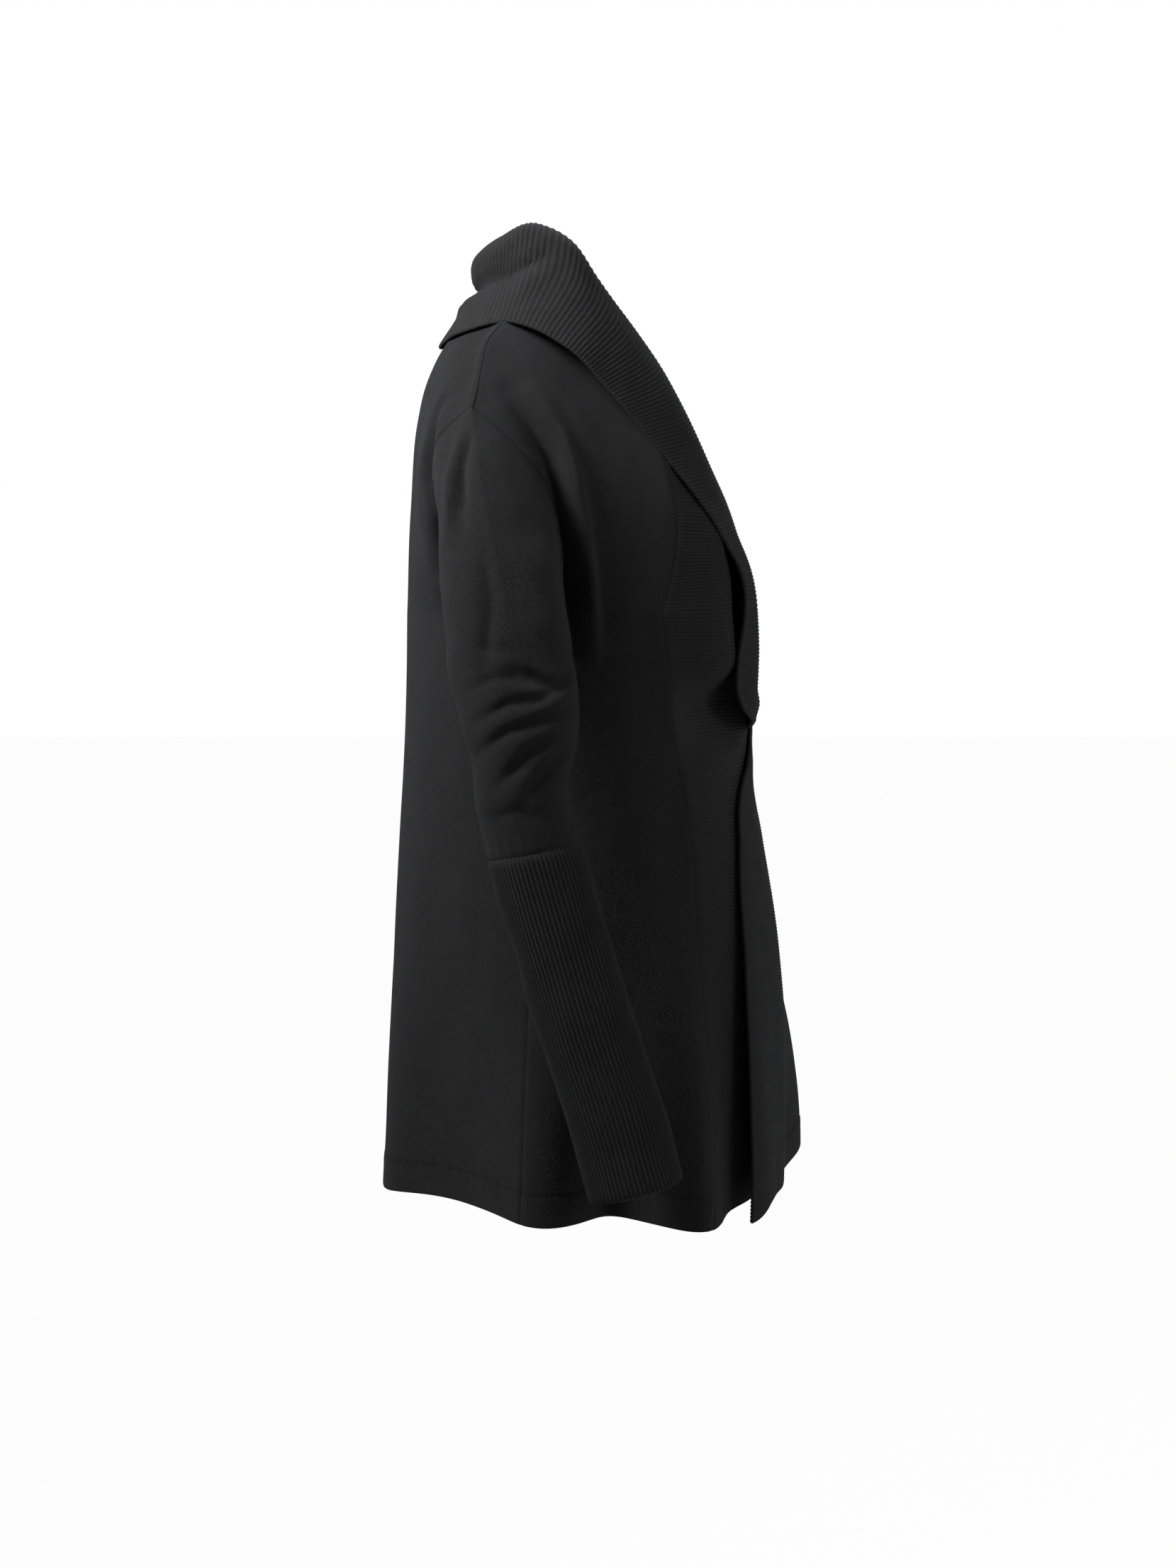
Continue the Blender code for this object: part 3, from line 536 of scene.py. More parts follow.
def crease_upper(points, strength=1.0):
    """Press the shoulder and armhole creases into pieces of the right side."""
    away = ramp(-points[..., 0], *CREASE_SETS_IN)
    depth = crease_depth(points[..., 1:], UPPER_CREASES, strength) * away
    towards = CREASE_MIDDLE - points[..., :2]
    towards = towards / np.linalg.norm(towards, axis=-1, keepdims=True)
    points[..., :2] += depth[..., None] * towards
    return points


def crease_elbow(points, strength=1.0):
    """Press the elbow creases into both faces of the right sleeve."""
    middles = np.array([row[0] for row in SLEEVE])
    middle = np.interp(-points[..., 2], -middles[:, 2], middles[:, 0])
    outer = ramp(middle - points[..., 0], *ELBOW_ROUND)
    inner = ramp(points[..., 0] - middle, *ELBOW_ROUND)
    shifted = points[..., 1:] + INNER_SHIFT
    points[..., 0] += crease_depth(points[..., 1:], ELBOW_CREASES, strength) * outer
    points[..., 0] -= crease_depth(shifted, ELBOW_CREASES, INNER_SOFTER * strength) * inner
    return points


# Fine detail

# Ribs: height, and the share of the colour kept in their valleys, which are painted in shade
BAND_RIBS = (0.0008, 0.65)
CUFF_RIBBING = (0.0013, 0.50)

# Width of a rib on the band at the front and at the neck, and the places between which it grows
FRONT_RIB = 0.0029
NECK_RIB = 0.0036
RIB_GROWS = (0.8, 1.9)
ROWS_PER_RIB = 4

# Distance from its seam over which a rib rises
RIB_SETS_IN = 0.004

# Seams: depth and width of the drawn-in edge, then height, place and width of its ridge
SEAM_EDGE = (0.0005, 0.0017)
SEAM_RIDGE = (0.0003, 0.0050, 0.0028)

# Hem: turn, how far its second layer stands out and how softly it ends, then depth and width of
# the stitch line
HEM_TURN = 0.025
HEM_LAYER = 0.0006
HEM_EASE = 0.0012
HEM_LINE = (0.0008, 0.0013)

# Puckers at the stitch line: height, how far they reach, and two lengths
PUCKER = 0.00022
PUCKER_REACH = 0.006
PUCKER_LENGTHS = (0.011, 0.017)

# Painted shade at a seam and at the stitch line: share of the colour lost, and width
SEAM_SHADE = (0.12, 0.0018)
HEM_SHADE = (0.30, 0.0016)

# Uneven hang: size, seed and stretch of wide and small waves, the small ones' share, the height
# below which they deepen, then how high they are on each piece and the distance from the top
# seam over which a sleeve's set in
WIDE_WAVES = (0.11, 3, (1.0, 1.0, 0.30))
SMALL_WAVES = (0.045, 5, (1.0, 1.0, 0.45))
SMALL_SHARE = 0.35
HANG_TOP = -0.30
BODY_HANG = 0.0011
BAND_HANG = 0.0008
SLEEVE_HANG = 0.0009
CUFF_HANG = 0.0008
HANG_FROM_SEAM = 0.04

# Ease of the sleeve gathered into the cuff: height, waves, distance and reach from the seam
CUFF_EASE = (0.0003, 22, 0.010, 0.010)

# Rows and columns
HEM_ROWS = 11
BODY_ROWS = 58
CHEST_ROWS = 56
FRONT_COLUMNS = 56
BACK_COLUMNS = 84
SLEEVE_HALF = 66
CAP_ROWS = 40
ARM_ROWS = 92
CUFF_ROWS = 60
CUFF_PER_RIB = 6
NECK_SHARE = 1.0 / 3.0
SEAM_FINE = 4000


def closer_at(count, near, ends):
    """Shares from 0 to 1, evenly spread, with the shares near added at the ends named."""
    share = list(np.linspace(0.0, 1.0, count + 1))
    if "start" in ends:
        share += list(near)
    if "end" in ends:
        share += [1.0 - s for s in near]
    return np.array(sorted(set(np.round(share, 6))))


def soft_noise(points, size, seed, stretch=(1.0, 1.0, 1.0), waves=9):
    """Smooth uneven waves of about that size, the same wherever two pieces meet."""
    draw = np.random.default_rng(seed)
    total = np.zeros(points.shape[:-1])
    for _ in range(waves):
        turn = draw.normal(size=3)
        turn = turn / np.linalg.norm(turn) * np.array(stretch)
        pace = 2.0 * math.pi / size * draw.uniform(0.6, 1.4)
        total += np.sin(points @ turn * pace + draw.uniform(0.0, 2.0 * math.pi))
    return total / math.sqrt(waves)


def from_edge(points, axis, end):
    """Distance of each point along its row or column from one end of it."""
    steps = np.linalg.norm(np.diff(points, axis=axis), axis=-1)
    along = np.cumsum(steps, axis=axis)
    zero = np.zeros_like(np.take(along, [0], axis=axis))
    along = np.concatenate([zero, along], axis=axis)
    if end == "last":
        along = np.take(along, [-1], axis=axis) - along
    return along


def seam_press(distance):
    """A sewn edge is drawn in, with a soft ridge of turnings beside it."""
    depth, narrow = SEAM_EDGE
    height, place, wide = SEAM_RIDGE
    drawn = -depth * np.exp(-(distance / narrow) ** 2)
    return drawn + height * np.exp(-((distance - place) / wide) ** 2)


def hem_fold(distance, along):
    """Two layers below the stitch line, drawn in and slightly puckered at the line."""
    depth, width = HEM_LINE
    short, long = PUCKER_LENGTHS
    from_line = distance - HEM_TURN
    layers = HEM_LAYER * ramp(distance, HEM_TURN + HEM_EASE, HEM_TURN - HEM_EASE)
    line = -depth * np.exp(-(from_line / width) ** 2)
    pucker = np.sin(2.0 * math.pi * along / short) + 0.6 * np.sin(2.0 * math.pi * along / long)
    return layers + line + PUCKER * pucker * np.exp(-(from_line / PUCKER_REACH) ** 2)


# Cloth meshes

class Cloth:
    """One piece of cloth: points of its outer face, normals, how far each face is raised, and the share
    of colour each face keeps under painted shade.
    """

    def __init__(self, name, points, wall, outward, closed=False):
        self.name = name
        self.wall = wall
        self.closed = closed
        self.outward = outward
        self.points = points
        self.flip = False
        self.raise_out = np.zeros(points.shape[:2])
        self.raise_in = np.zeros(points.shape[:2])
        self.light_out = np.ones(points.shape[:2])
        self.light_in = np.ones(points.shape[:2])
        self.lean()

    def lean(self):
        """Work out the normals of the points as they are now."""
        along = np.gradient(self.points, axis=0)
        if self.closed:
            across = np.roll(self.points, -1, axis=1) - np.roll(self.points, 1, axis=1)
        else:
            across = np.gradient(self.points, axis=1)
        normals = np.cross(along, across)
        self.flip = np.sum(normals * self.outward) < 0
        if self.flip:
            normals = -normals
        self.normals = normals / np.linalg.norm(normals, axis=-1, keepdims=True)

    def move(self, amount):
        self.points = self.points + self.normals * amount[..., None]
        self.lean()

    def edge_beyond(self, edge, inside):
        """Points half a wall beyond an edge, which round it off."""
        step = edge - inside
        return edge + 0.5 * self.wall * step / np.linalg.norm(step, axis=-1, keepdims=True)

    def padded(self, face, middle):
        first = self.edge_beyond(middle[:1], middle[1:2])
        last = self.edge_beyond(middle[-1:], middle[-2:-1])
        face = np.concatenate([first, face, last])
        if self.closed:
            return face
        middle = np.concatenate([first, middle, last])
        left = self.edge_beyond(middle[:, :1], middle[:, 1:2])
        right = self.edge_beyond(middle[:, -1:], middle[:, -2:-1])
        return np.concatenate([left, face, right], axis=1)

    def stitch_places(self):
        """Places on the cloth in metres, for the knit: across the wales, and along them."""
        closing = self.points
        if self.closed:
            closing = np.concatenate([self.points, self.points[:, :1]], axis=1)
        across = from_edge(closing, 1, "first").mean(axis=0)
        along = from_edge(closing, 0, "first").mean(axis=1)
        return across, along

    def mesh(self):
        outer = self.points + self.normals * self.raise_out[..., None]
        inner = self.points - self.normals * (self.wall + self.raise_in)[..., None]
        middle = 0.5 * (outer + inner)
        outer = self.padded(outer, middle)
        inner = self.padded(inner, middle)
        rows, columns = outer.shape[:2]
        number_out = np.arange(rows * columns).reshape(rows, columns)
        number_in = number_out.copy()
        inside = np.s_[1:-1, :] if self.closed else np.s_[1:-1, 1:-1]
        count = number_in[inside].size
        number_in[inside] = (rows * columns + np.arange(count)).reshape(number_in[inside].shape)
        points = np.concatenate([outer.reshape(-1, 3), inner[inside].reshape(-1, 3)])
        sides = (0, 0) if self.closed else (1, 1)
        light = np.concatenate([np.pad(self.light_out, ((1, 1), sides), mode="edge").ravel(),
                                self.light_in.ravel()])
        across, along = self.stitch_places()
        along = np.pad(along, 1, mode="edge")
        if not self.closed:
            across = np.pad(across, 1, mode="edge")
        faces = []
        places = []
        for number, turned in ((number_out, self.flip), (number_in, not self.flip)):
            if self.closed:
                number = np.concatenate([number, number[:, :1]], axis=1)
            corners = [number[:-1, :-1], number[1:, :-1], number[1:, 1:], number[:-1, 1:]]
            u = np.broadcast_to(across, number.shape)
            v = np.broadcast_to(along[:, None], number.shape)
            spots = np.stack([u, v], axis=-1)
            spot = [spots[:-1, :-1], spots[1:, :-1], spots[1:, 1:], spots[:-1, 1:]]
            if turned:
                corners = corners[::-1]
                spot = spot[::-1]
            faces.append(np.stack(corners, axis=-1).reshape(-1, 4))
            places.append(np.stack(spot, axis=-2).reshape(-1, 2))
        mesh = bpy.data.meshes.new(self.name)
        mesh.from_pydata(points.tolist(), [], np.concatenate(faces).tolist())
        layer = mesh.uv_layers.new(name="knit")
        layer.data.foreach_set("uv", np.concatenate(places).astype(np.float32).ravel())
        # Painted shade kept on each point: darker in rib valleys, at seams and at the stitch line
        depth = mesh.attributes.new(name="open_to_light", type="FLOAT", domain="POINT")
        depth.data.foreach_set("value", light.astype(np.float32))
        mesh.shade_smooth()
        return mesh


# Finer forms

def levels_of(hem_rows, rows):
    """Levels from the hem to the underarm, closer at the hem's edge and stitch line."""
    tall = UNDERARM_Z - HEM_Z
    close = [0.0, 0.0012, 0.003, 0.007, 0.013, 0.019]
    close += [HEM_TURN + d for d in (-0.003, -0.0015, 0.0, 0.0015, 0.003)]
    even = np.linspace((HEM_TURN + 0.009) / tall, 1.0, rows)
    return np.array([c / tall for c in close[:hem_rows]] + list(even))


def fine_front(panel, levels, ups, across):
    sign = 1.0 if panel == "right" else -1.0
    rows = []
    for level in levels:
        start = seam_angle(level, panel)
        rows.append(body_point(start + (sign * SIDE_SEAM - start) * across, level, panel))
    start = seam_angle(1.0, "right")
    bottom = body_point(start + (SIDE_SEAM - start) * across, 1.0, "right")
    chest = patch(across, ups, bottom, shoulder_seam(across), neckline(ups),
                  armhole(ups, FRONT_ARMHOLE))
    if panel == "left":
        chest = mirrored(chest)
    return np.concatenate([np.array(rows), chest[1:]])


def fine_back(levels, ups, across, neck_share):
    """The back from the right side to the left side. Its neck takes up neck_share of half of it."""
    neck = across[across <= neck_share] / neck_share
    shoulder = (across[across > neck_share] - neck_share) / (1.0 - neck_share)
    top_line = np.concatenate([line_through([NECK_POINT, *BACK_NECK], 1.0 - neck),
                               shoulder_seam(shoulder)])
    halves = []
    for sign in (1.0, -1.0):
        angle = sign * (180.0 + (SIDE_SEAM - 180.0) * across)
        low = np.array([body_point(angle, level, "back") for level in levels])
        bottom = body_point(180.0 + (SIDE_SEAM - 180.0) * across, 1.0, "back")
        middle = line_through([bottom[0], *BACK_MIDDLE, BACK_NECK[-1]], ups)
        blades = patch(across, ups, bottom, top_line, middle, armhole(ups, BACK_ARMHOLE),
                       plain=yoke_line(top_line), swell=yoke_swell(top_line))
        if sign < 0:
            blades = mirrored(blades)
        halves.append(np.concatenate([low, blades[1:]]))
    return np.concatenate([halves[0][:, ::-1], halves[1][:, 1:]], axis=1)


def rib_rows(edge, places):
    """Places along the band's seam, a few to a rib, and the seam's points there."""
    along = lengths(edge)
    fine = np.linspace(0.0, along[-1], SEAM_FINE)
    grown = ramp(np.interp(fine, along, places), *RIB_GROWS)
    pitch = FRONT_RIB + (NECK_RIB - FRONT_RIB) * grown
    steps = 0.5 * (1.0 / pitch[1:] + 1.0 / pitch[:-1]) * np.diff(fine)
    ribs = np.concatenate([[0.0], np.cumsum(steps)])
    count = int(ribs[-1])
    turn = np.arange(ROWS_PER_RIB * count + 1) / ROWS_PER_RIB
    at = np.interp(turn * ribs[-1] / count, ribs, fine)
    seam = np.stack([np.interp(at, along, edge[:, k]) for k in range(3)], axis=1)
    return turn, np.interp(at, along, places), seam


# Columns of the band: shares of its way from the seam to the roll, then from there to its edge
TO_ROLL = (0.0, 0.008, 0.02, 0.045, 0.10, 0.19, 0.30, 0.42, 0.54, 0.66, 0.78, 0.88, 0.95, 1.0)
FROM_ROLL = (0.05, 0.10, 0.15, 0.20, 0.25, 0.30, 0.35, 0.41, 0.48, 0.56, 0.65, 0.75, 0.85, 0.93,
             0.98, 1.0)


def fine_band(panel, places, seam):
    """Rows of the band, its second roll pressed into the part that is turned over."""
    rows = np.array([band_section(place, panel, spot) for place, spot in zip(places, seam)])
    beyond = np.concatenate([np.zeros(len(TO_ROLL)), ramp(np.array(FROM_ROLL), *BEYOND_ROLL)])
    depth = crease_depth(rows[..., 1:], COLLAR_CREASES)
    depth = depth * beyond * ramp(places, *COLLAR_SETS_IN)[:, None]
    towards = COLLAR_MIDDLE - rows[..., :2]
    towards = towards / np.linalg.norm(towards, axis=-1, keepdims=True)
    rows[..., :2] += depth[..., None] * towards
    return rows


def hang_unevenly(cloth, amount):
    """Slight uneven waves that run down the cloth, deeper near the hem."""
    low = ramp(cloth.points[..., 2], HANG_TOP, HEM_Z)
    wide = soft_noise(cloth.points, *WIDE_WAVES)
    small = soft_noise(cloth.points, *SMALL_WAVES)
    cloth.move(amount * (0.7 + 0.8 * low) * wide + SMALL_SHARE * amount * small)


def rib_wave(turn):
    return 0.5 + 0.5 * np.cos(2.0 * math.pi * turn)


def raise_ribs(cloth, ribbing, wave, press, from_seam):
    """Ribs on both faces: a rib on one is a valley on the other. The valleys get painted shade: their
    colour is darker.
    """
    height, valley = ribbing
    full = np.ones(cloth.points.shape[:2])
    cloth.raise_out = height * wave * ramp(from_seam, 0.0, RIB_SETS_IN) + press
    cloth.raise_in = height * (1.0 - wave) * full
    # Painted shade: colour darker in the valleys of each face
    cloth.light_out = valley + (1.0 - valley) * wave * full
    cloth.light_in = valley + (1.0 - valley) * (1.0 - wave) * full


def seam_shade(nearest):
    # Painted shade: colour darker along a seam
    share, width = SEAM_SHADE
    return 1.0 - share * np.exp(-(nearest / width) ** 2)


def sew_edges(cloth):
    """Drawn-in edges of a body panel at its two sides and its top, its turned hem, and painted shade
    along the seams and the stitch line.
    """
    first = from_edge(cloth.points, 1, "first")
    last = from_edge(cloth.points, 1, "last")
    top = from_edge(cloth.points, 0, "last")
    hem = from_edge(cloth.points, 0, "first")
    share, width = HEM_SHADE
    cloth.raise_out = seam_press(first) + seam_press(last) + seam_press(top)
    cloth.raise_out += hem_fold(hem, first)
    # Painted shade along the seams and at the stitch line
    cloth.light_out = seam_shade(np.minimum(np.minimum(first, last), top))
    cloth.light_out -= share * np.exp(-((hem - HEM_TURN) / width) ** 2)


def hang_sleeve(cloth, amount, *waves):
    """Slight uneven waves of a sleeve or cuff, none at its top seam."""
    away = ramp(from_edge(cloth.points, 0, "first"), 0.0, HANG_FROM_SEAM)
    cloth.move(amount * soft_noise(cloth.points, *waves) * away)


def gather(cloth, end):
    """Ripples of the sleeve's ease, just above its seam with the cuff."""
    height, waves, place, reach_up = CUFF_EASE
    columns = cloth.points.shape[1]
    ripple = height * np.sin(np.arange(columns) * 2.0 * math.pi * waves / columns)
    return ripple[None, :] * np.exp(-((end - place) / reach_up) ** 2)


def make_cloths():
    """Every piece of the cardigan."""
    made = []
    levels = levels_of(HEM_ROWS, BODY_ROWS)
    ups = closer_at(CHEST_ROWS, (0.004, 0.010, 0.020), ("end",))
    across = closer_at(FRONT_COLUMNS, (0.005, 0.012, 0.024), ("start", "end"))
    back_across = closer_at(BACK_COLUMNS, (0.004, 0.010, 0.020), ("end",))
    back = fine_back(levels, ups, back_across, NECK_SHARE)
    back = mirrored(crease_upper(mirrored(crease_upper(back)), LEFT_SOFTER))
    cloth = Cloth("back_panel", back, JERSEY_WALL, np.array([0.0, 1.0, 0.0]))
    hang_unevenly(cloth, BODY_HANG)
    sew_edges(cloth)
    made.append(cloth)
    middle = back_across.size - 1
    count = int(np.sum(back_across <= NECK_SHARE))
    necks = {"right": back[-1, middle - count + 1:middle + 1],
             "left": back[-1, middle:middle + count][::-1]}
    for panel in ("right", "left"):
        sign = 1.0 if panel == "right" else -1.0
        strength = 1.0 if panel == "right" else LEFT_SOFTER
        front = fine_front(panel, levels, ups, across)
        front = crease_upper(front) if sign > 0 else mirrored(crease_upper(mirrored(front), strength))
        edge = np.concatenate([front[:, 0], necks[panel][1:]])
        neck_places = 2.0 + np.linspace(0.0, 1.0, count)[1:]
        places = np.concatenate([levels, 1.0 + ups[1:], neck_places])
        cloth = Cloth(f"{panel}_front_panel", front, JERSEY_WALL, np.array([-sign, -1.0, 0.0]))
        hang_unevenly(cloth, BODY_HANG)
        sew_edges(cloth)
        made.append(cloth)

        turn, at, seam = rib_rows(edge, places)
        band = fine_band(panel, at, seam)
        facing = np.zeros_like(band)
        facing[:band.shape[0] // 4] = (0.0, -1.0, 0.0)
        cloth = Cloth(f"{panel}_shawl_band", band, RIB_WALL, facing)
        hang_unevenly(cloth, BAND_HANG)
        from_seam = from_edge(cloth.points, 1, "first")
        raise_ribs(cloth, BAND_RIBS, rib_wave(turn)[:, None], seam_press(from_seam), from_seam)
        made.append(cloth)

        sleeve = crease_upper(sleeve_grid(SLEEVE_HALF, CAP_ROWS, ARM_ROWS), strength)
        sleeve = crease_elbow(sleeve, strength)
        cuff = cuff_grid(sleeve[-1], CUFF_PER_RIB * CUFF_RIBS, CUFF_ROWS)
        sleeve_out = sleeve - sleeve.mean(axis=1, keepdims=True)
        cuff_out = cuff - cuff.mean(axis=1, keepdims=True)
        if sign < 0:
            sleeve, sleeve_out, cuff, cuff_out = (
                mirrored(a) for a in (sleeve, sleeve_out, cuff, cuff_out))
        cloth = Cloth(f"{panel}_sleeve_cloth", sleeve, JERSEY_WALL, sleeve_out, closed=True)
        hang_sleeve(cloth, SLEEVE_HANG, 0.060, 11)
        top = from_edge(cloth.points, 0, "first")
        end = from_edge(cloth.points, 0, "last")
        cloth.raise_out = seam_press(top) + seam_press(end) + gather(cloth, end)
        # Painted shade along the sleeve's seams
        cloth.light_out = seam_shade(np.minimum(top, end))
        made.append(cloth)
        cloth = Cloth(f"{panel}_cuff_rib", cuff, RIB_WALL, cuff_out, closed=True)
        hang_sleeve(cloth, CUFF_HANG, 0.050, 13, (1.0, 1.0, 0.6))
        turn = np.arange(cuff.shape[1]) / CUFF_PER_RIB
        top = from_edge(cloth.points, 0, "first")
        raise_ribs(cloth, CUFF_RIBBING, rib_wave(turn)[None, :], seam_press(top), top)
        made.append(cloth)
    return made


# Materials

WALE = 0.0017
COURSE = 0.0013

# Height of the relief, and the share of painted stitch shade in the colour, lighter on the loops and
# darker between them
RELIEF = 0.0005
STITCH_SHADE = 0.16

# Noises: scale, detail, share in the relief or the colour
NAP = (1400.0, 2.0, 0.8)
DYE = (60.0, 6.0, 0.28)
FLECK = (460.0, 3.0, 0.44)

# Darkest and lightest colour, as shares of the tone, and where they lie among the tones
DARKEST = (0.15, (0.30, 0.30, 0.33))
LIGHTEST = (0.62, (1.70, 1.68, 1.76))

# Strength of the relief and the tone
JERSEY_LOOK = (1.00, 0.0080)
RIB_LOOK = (0.40, 0.0104)

def knit_material(name, bump, tone):
    """Black knit: stitch relief from its own places, soft nap, uneven dye, painted shade between the
    stitches, in rib valleys and at seams, and a faint sheen.
    """
    material = bpy.data.materials.new(name)
    material.use_nodes = True
    tree = material.node_tree
    shader = tree.nodes["Principled BSDF"]

    def add(kind, **settings):
        node = tree.nodes.new(kind)
        for key, value in settings.items():
            setattr(node, key, value)
        return node

    def maths(operation, first, second=None):
        node = add("ShaderNodeMath", operation=operation)
        for socket, value in zip(node.inputs, (first, second)):
            if value is None:
                continue
            if isinstance(value, (int, float)):
                socket.default_value = value
            else:
                tree.links.new(value, socket)
        return node.outputs[0]

    def noise(scale, detail):
        node = add("ShaderNodeTexNoise")
        node.inputs["Scale"].default_value = scale
        node.inputs["Detail"].default_value = detail
        tree.links.new(space.outputs["Object"], node.inputs["Vector"])
        return node

    places = add("ShaderNodeUVMap", uv_map="knit")
    split = add("ShaderNodeSeparateXYZ")
    tree.links.new(places.outputs[0], split.inputs[0])
    across = maths("DIVIDE", split.outputs[0], WALE)
    side = maths("PINGPONG", across, 0.5)
    rise = maths("SINE", maths("MULTIPLY", side, 2.0 * math.pi))
    lean = maths("ADD", maths("DIVIDE", split.outputs[1], COURSE), maths("MULTIPLY", side, 1.6))
    loop = maths("MULTIPLY", maths("SINE", maths("MULTIPLY", lean, 2.0 * math.pi)), 0.35)
    stitches = maths("ADD", maths("MULTIPLY", rise, 0.9), loop)

    space = add("ShaderNodeTexCoord")
    nap = noise(*NAP[:2])
    relief = maths("ADD", stitches, maths("MULTIPLY", nap.outputs[0], NAP[2]))
    bumps = add("ShaderNodeBump")
    bumps.inputs["Strength"].default_value = bump
    bumps.inputs["Distance"].default_value = RELIEF
    tree.links.new(relief, bumps.inputs["Height"])
    tree.links.new(bumps.outputs[0], shader.inputs["Normal"])

    dye = noise(*DYE[:2])
    dye.inputs["Roughness"].default_value = 0.62
    fleck = noise(*FLECK[:2])
    dyed = maths("MULTIPLY", dye.outputs[0], DYE[2])
    uneven = maths("ADD", dyed, maths("MULTIPLY", fleck.outputs[0], FLECK[2]))
    # Uneven dye, and painted shade of the stitches: lighter on the loops, darker between them
    dye_and_stitch_shade = maths("ADD", uneven, maths("MULTIPLY", stitches, STITCH_SHADE))
    ramped = add("ShaderNodeValToRGB")
    for element, (place, colour) in zip(ramped.color_ramp.elements, (DARKEST, LIGHTEST)):
        element.position = place
        element.color = (*(tone * part for part in colour), 1.0)
    tree.links.new(dye_and_stitch_shade, ramped.inputs[0])
    # Painted shade: the colour is darkened in rib valleys, along seams and at the hem's stitch line
    depth = add("ShaderNodeAttribute", attribute_name="open_to_light")
    shaded = add("ShaderNodeVectorMath", operation="SCALE")
    tree.links.new(ramped.outputs[0], shaded.inputs[0])
    tree.links.new(depth.outputs["Fac"], shaded.inputs["Scale"])
    tree.links.new(shaded.outputs[0], shader.inputs["Base Color"])

    shader.inputs["Roughness"].default_value = 0.85
    shader.inputs["Specular IOR Level"].default_value = 0.12
    shader.inputs["Sheen Weight"].default_value = 0.030
    shader.inputs["Sheen Roughness"].default_value = 0.40
    shader.inputs["Sheen Tint"].default_value = (0.80, 0.82, 0.88, 1.0)
    return material


# Pieces on the frame: CAD node, flat width and length, flat area, what it rests on
SHEETS = {
    "back_panel": ("back", (0.53, 0.79), 0.330, ()),
    "right_front_panel": ("right_front", (0.20, 0.83), 0.108, ("back_panel",)),
    "left_front_panel": ("left_front", (0.42, 0.88), 0.166, ("back_panel",)),
    "right_shawl_band": ("right_collar_band", (0.21, 1.12), 0.160, ("right_front_panel", "back_panel")),
    "left_shawl_band": ("left_collar_band", (0.21, 1.12), 0.161, ("left_front_panel", "back_panel")),
    "right_sleeve_cloth": ("right_sleeve", (0.43, 0.39), 0.084, ("right_front_panel", "back_panel")),
    "left_sleeve_cloth": ("left_sleeve", (0.43, 0.39), 0.084, ("left_front_panel", "back_panel")),
    "right_cuff_rib": ("right_cuff", (0.23, 0.29), 0.064, ("right_sleeve_cloth",)),
    "left_cuff_rib": ("left_cuff", (0.23, 0.29), 0.064, ("left_sleeve_cloth",)),
}


def dress():
    """Build every cloth, give it its material, parent it to the root and hide the CAD part it stands for.
    """
    jersey = knit_material("black_jersey", *JERSEY_LOOK)
    rib = knit_material("black_rib", *RIB_LOOK)
    things = {}
    for cloth in make_cloths():
        mesh = cloth.mesh()
        mesh.materials.append(rib if cloth.wall == RIB_WALL else jersey)
        thing = bpy.data.objects.new(cloth.name, mesh)
        bpy.context.scene.collection.objects.link(thing)
        things[cloth.name] = thing
    for name, (node, flat, area, rests_on) in SHEETS.items():
        thing = things[name]
        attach(thing, "root")
        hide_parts(node)


# Studio

FLOOR_Z = -1.55
FLOOR_SIZE = 30.0
SKY_LIGHT = 0.42

# Share of the floor that the camera sees as plain white
FLOOR_WHITE = 0.97

# Lights: name, place, where it points, width and height, power, spread in degrees
LIGHTS = (
    ("window_behind", (-0.75, 1.35, 1.15), (0.0, 0.0, 0.07), (0.8, 0.8), 13.0, 54.0),
    ("front_fill", (-2.4, -3.6, 1.4), (0.0, 0.0, -0.4), (2.2, 2.2), 65.0, 180.0),
    ("far_side", (3.2, -0.6, 2.4), (0.0, 0.0, -0.3), (2.4, 2.4), 45.0, 180.0),
)

# The photograph's view: lens, sensor, place, and angle down
LENS = 80.07
SENSOR = 36.0
CAMERA_PLACE = (-3.0, -0.0515, -0.256)
LOOKS_DOWN = 3.03


def seen_white(tree, lit, white, output, share):
    """What the camera sees is mostly white, while the cloth is lit by the softer light."""
    path = tree.nodes.new("ShaderNodeLightPath")
    amount = tree.nodes.new("ShaderNodeMath")
    amount.operation = "MULTIPLY"
    amount.inputs[1].default_value = share
    mix = tree.nodes.new("ShaderNodeMixShader")
    tree.links.new(path.outputs["Is Camera Ray"], amount.inputs[0])
    tree.links.new(amount.outputs[0], mix.inputs[0])
    tree.links.new(lit, mix.inputs[1])
    tree.links.new(white, mix.inputs[2])
    tree.links.new(mix.outputs[0], output.inputs["Surface"])


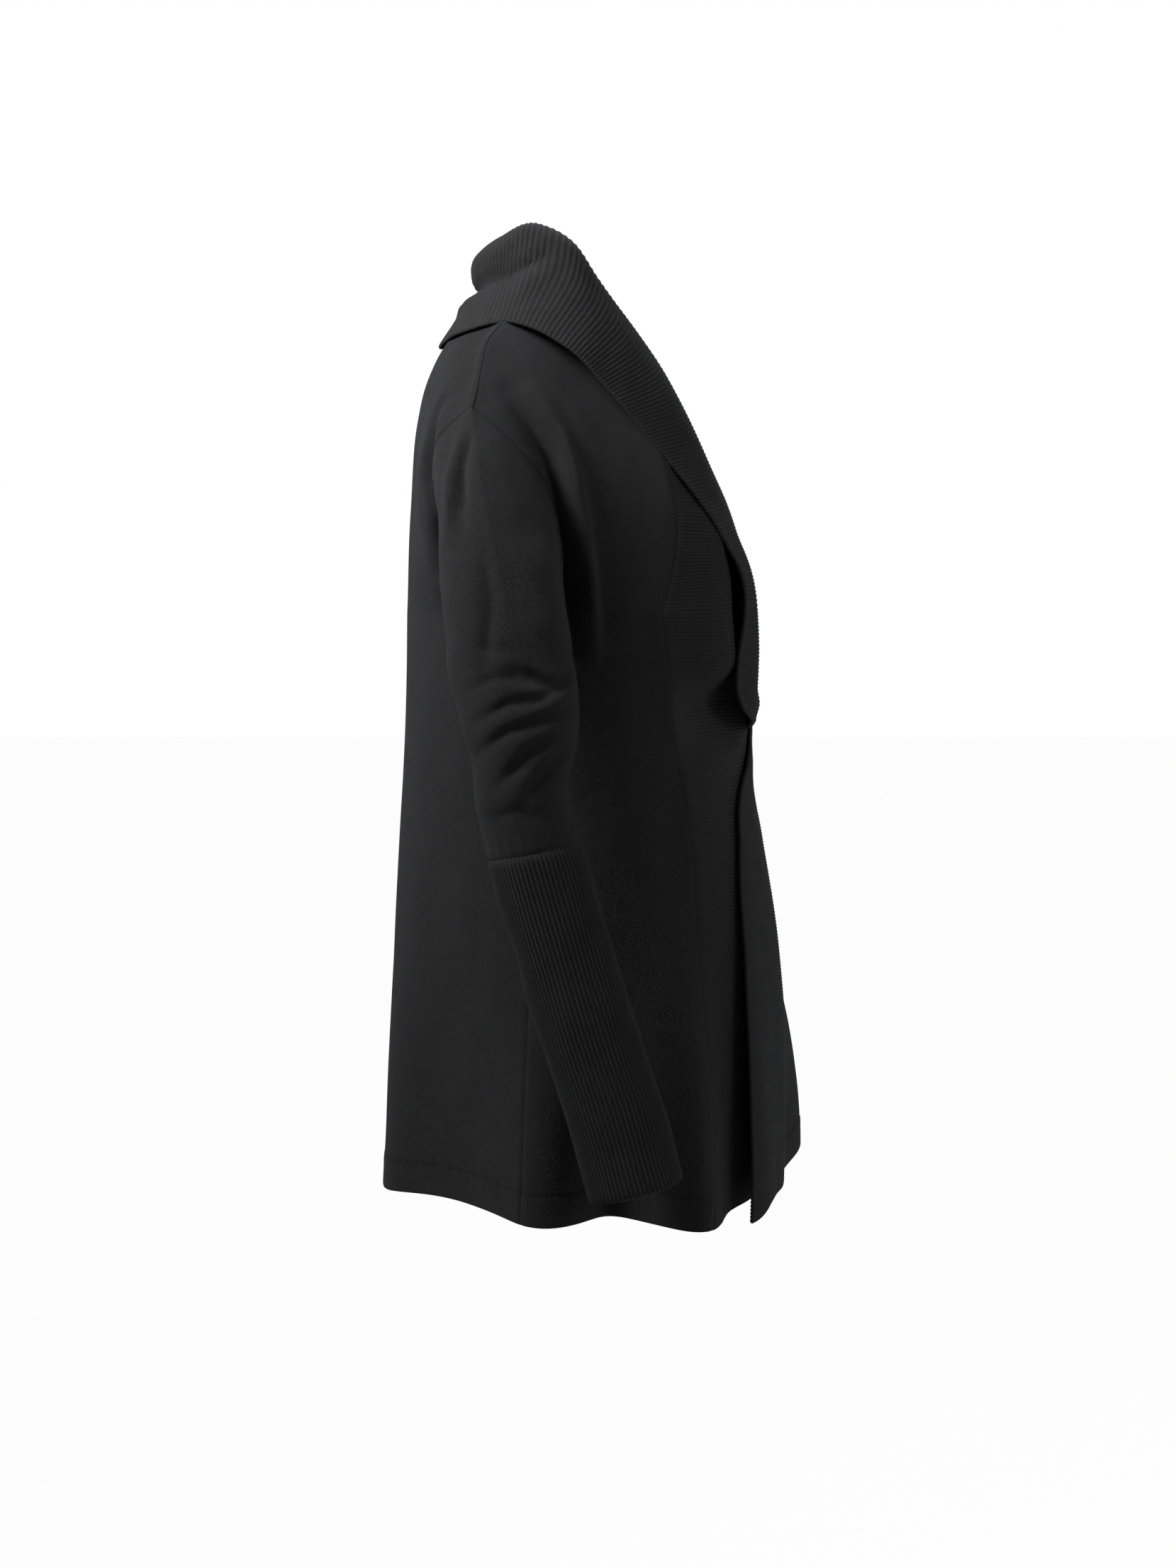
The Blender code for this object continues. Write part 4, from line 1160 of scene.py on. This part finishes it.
def add_floor():
    mesh = bpy.data.meshes.new("studio_floor")
    size = FLOOR_SIZE
    corners = [(x, y, FLOOR_Z) for x, y in ((-size, -size), (size, -size), (size, size), (-size, size))]
    mesh.from_pydata(corners, [], [(0, 1, 2, 3)])
    material = bpy.data.materials.new("pale_floor")
    material.use_nodes = True
    tree = material.node_tree
    shader = tree.nodes["Principled BSDF"]
    shader.inputs["Base Color"].default_value = (0.60, 0.60, 0.60, 1.0)
    shader.inputs["Roughness"].default_value = 0.9
    shader.inputs["Specular IOR Level"].default_value = 0.1
    glow = tree.nodes.new("ShaderNodeEmission")
    glow.inputs["Color"].default_value = (1.0, 1.0, 1.0, 1.0)
    glow.inputs["Strength"].default_value = 1.0
    seen_white(tree, shader.outputs[0], glow.outputs[0], tree.nodes["Material Output"], FLOOR_WHITE)
    mesh.materials.append(material)
    floor = bpy.data.objects.new("studio_floor", mesh)
    bpy.context.scene.collection.objects.link(floor)


def add_light(name, place, target, size, power, spread):
    light = bpy.data.lights.new(name, "AREA")
    light.shape = "RECTANGLE"
    light.size, light.size_y = size
    light.energy = power
    light.spread = math.radians(spread)
    thing = bpy.data.objects.new(name, light)
    thing.location = place
    thing.rotation_mode = "QUATERNION"
    thing.rotation_quaternion = (Vector(target) - Vector(place)).to_track_quat("-Z", "Y")
    bpy.context.scene.collection.objects.link(thing)


def add_studio():
    world = bpy.data.worlds.new("studio")
    world.use_nodes = True
    tree = world.node_tree
    sky = tree.nodes["Background"]
    sky.inputs["Color"].default_value = (0.97, 0.98, 1.0, 1.0)
    sky.inputs["Strength"].default_value = SKY_LIGHT
    white = tree.nodes.new("ShaderNodeBackground")
    white.inputs["Color"].default_value = (1.0, 1.0, 1.0, 1.0)
    seen_white(tree, sky.outputs[0], white.outputs[0], tree.nodes["World Output"], 1.0)
    bpy.context.scene.world = world
    for row in LIGHTS:
        add_light(*row)
    bpy.context.scene.view_settings.view_transform = "Standard"


def add_camera():
    """The photograph's view: level with the wearer's right side, looking slightly down."""
    data = bpy.data.cameras.new("photo_view")
    data.lens = LENS
    data.sensor_width = SENSOR
    camera = bpy.data.objects.new("photo_view", data)
    camera.location = CAMERA_PLACE
    pitch = math.radians(LOOKS_DOWN)
    camera.rotation_mode = "QUATERNION"
    ahead = Vector((math.cos(pitch), 0.0, -math.sin(pitch)))
    camera.rotation_quaternion = ahead.to_track_quat("-Z", "Y")
    bpy.context.scene.collection.objects.link(camera)
    bpy.context.scene.camera = camera


add_camera()
add_studio()
add_floor()
dress()
bpy.context.view_layer.update()
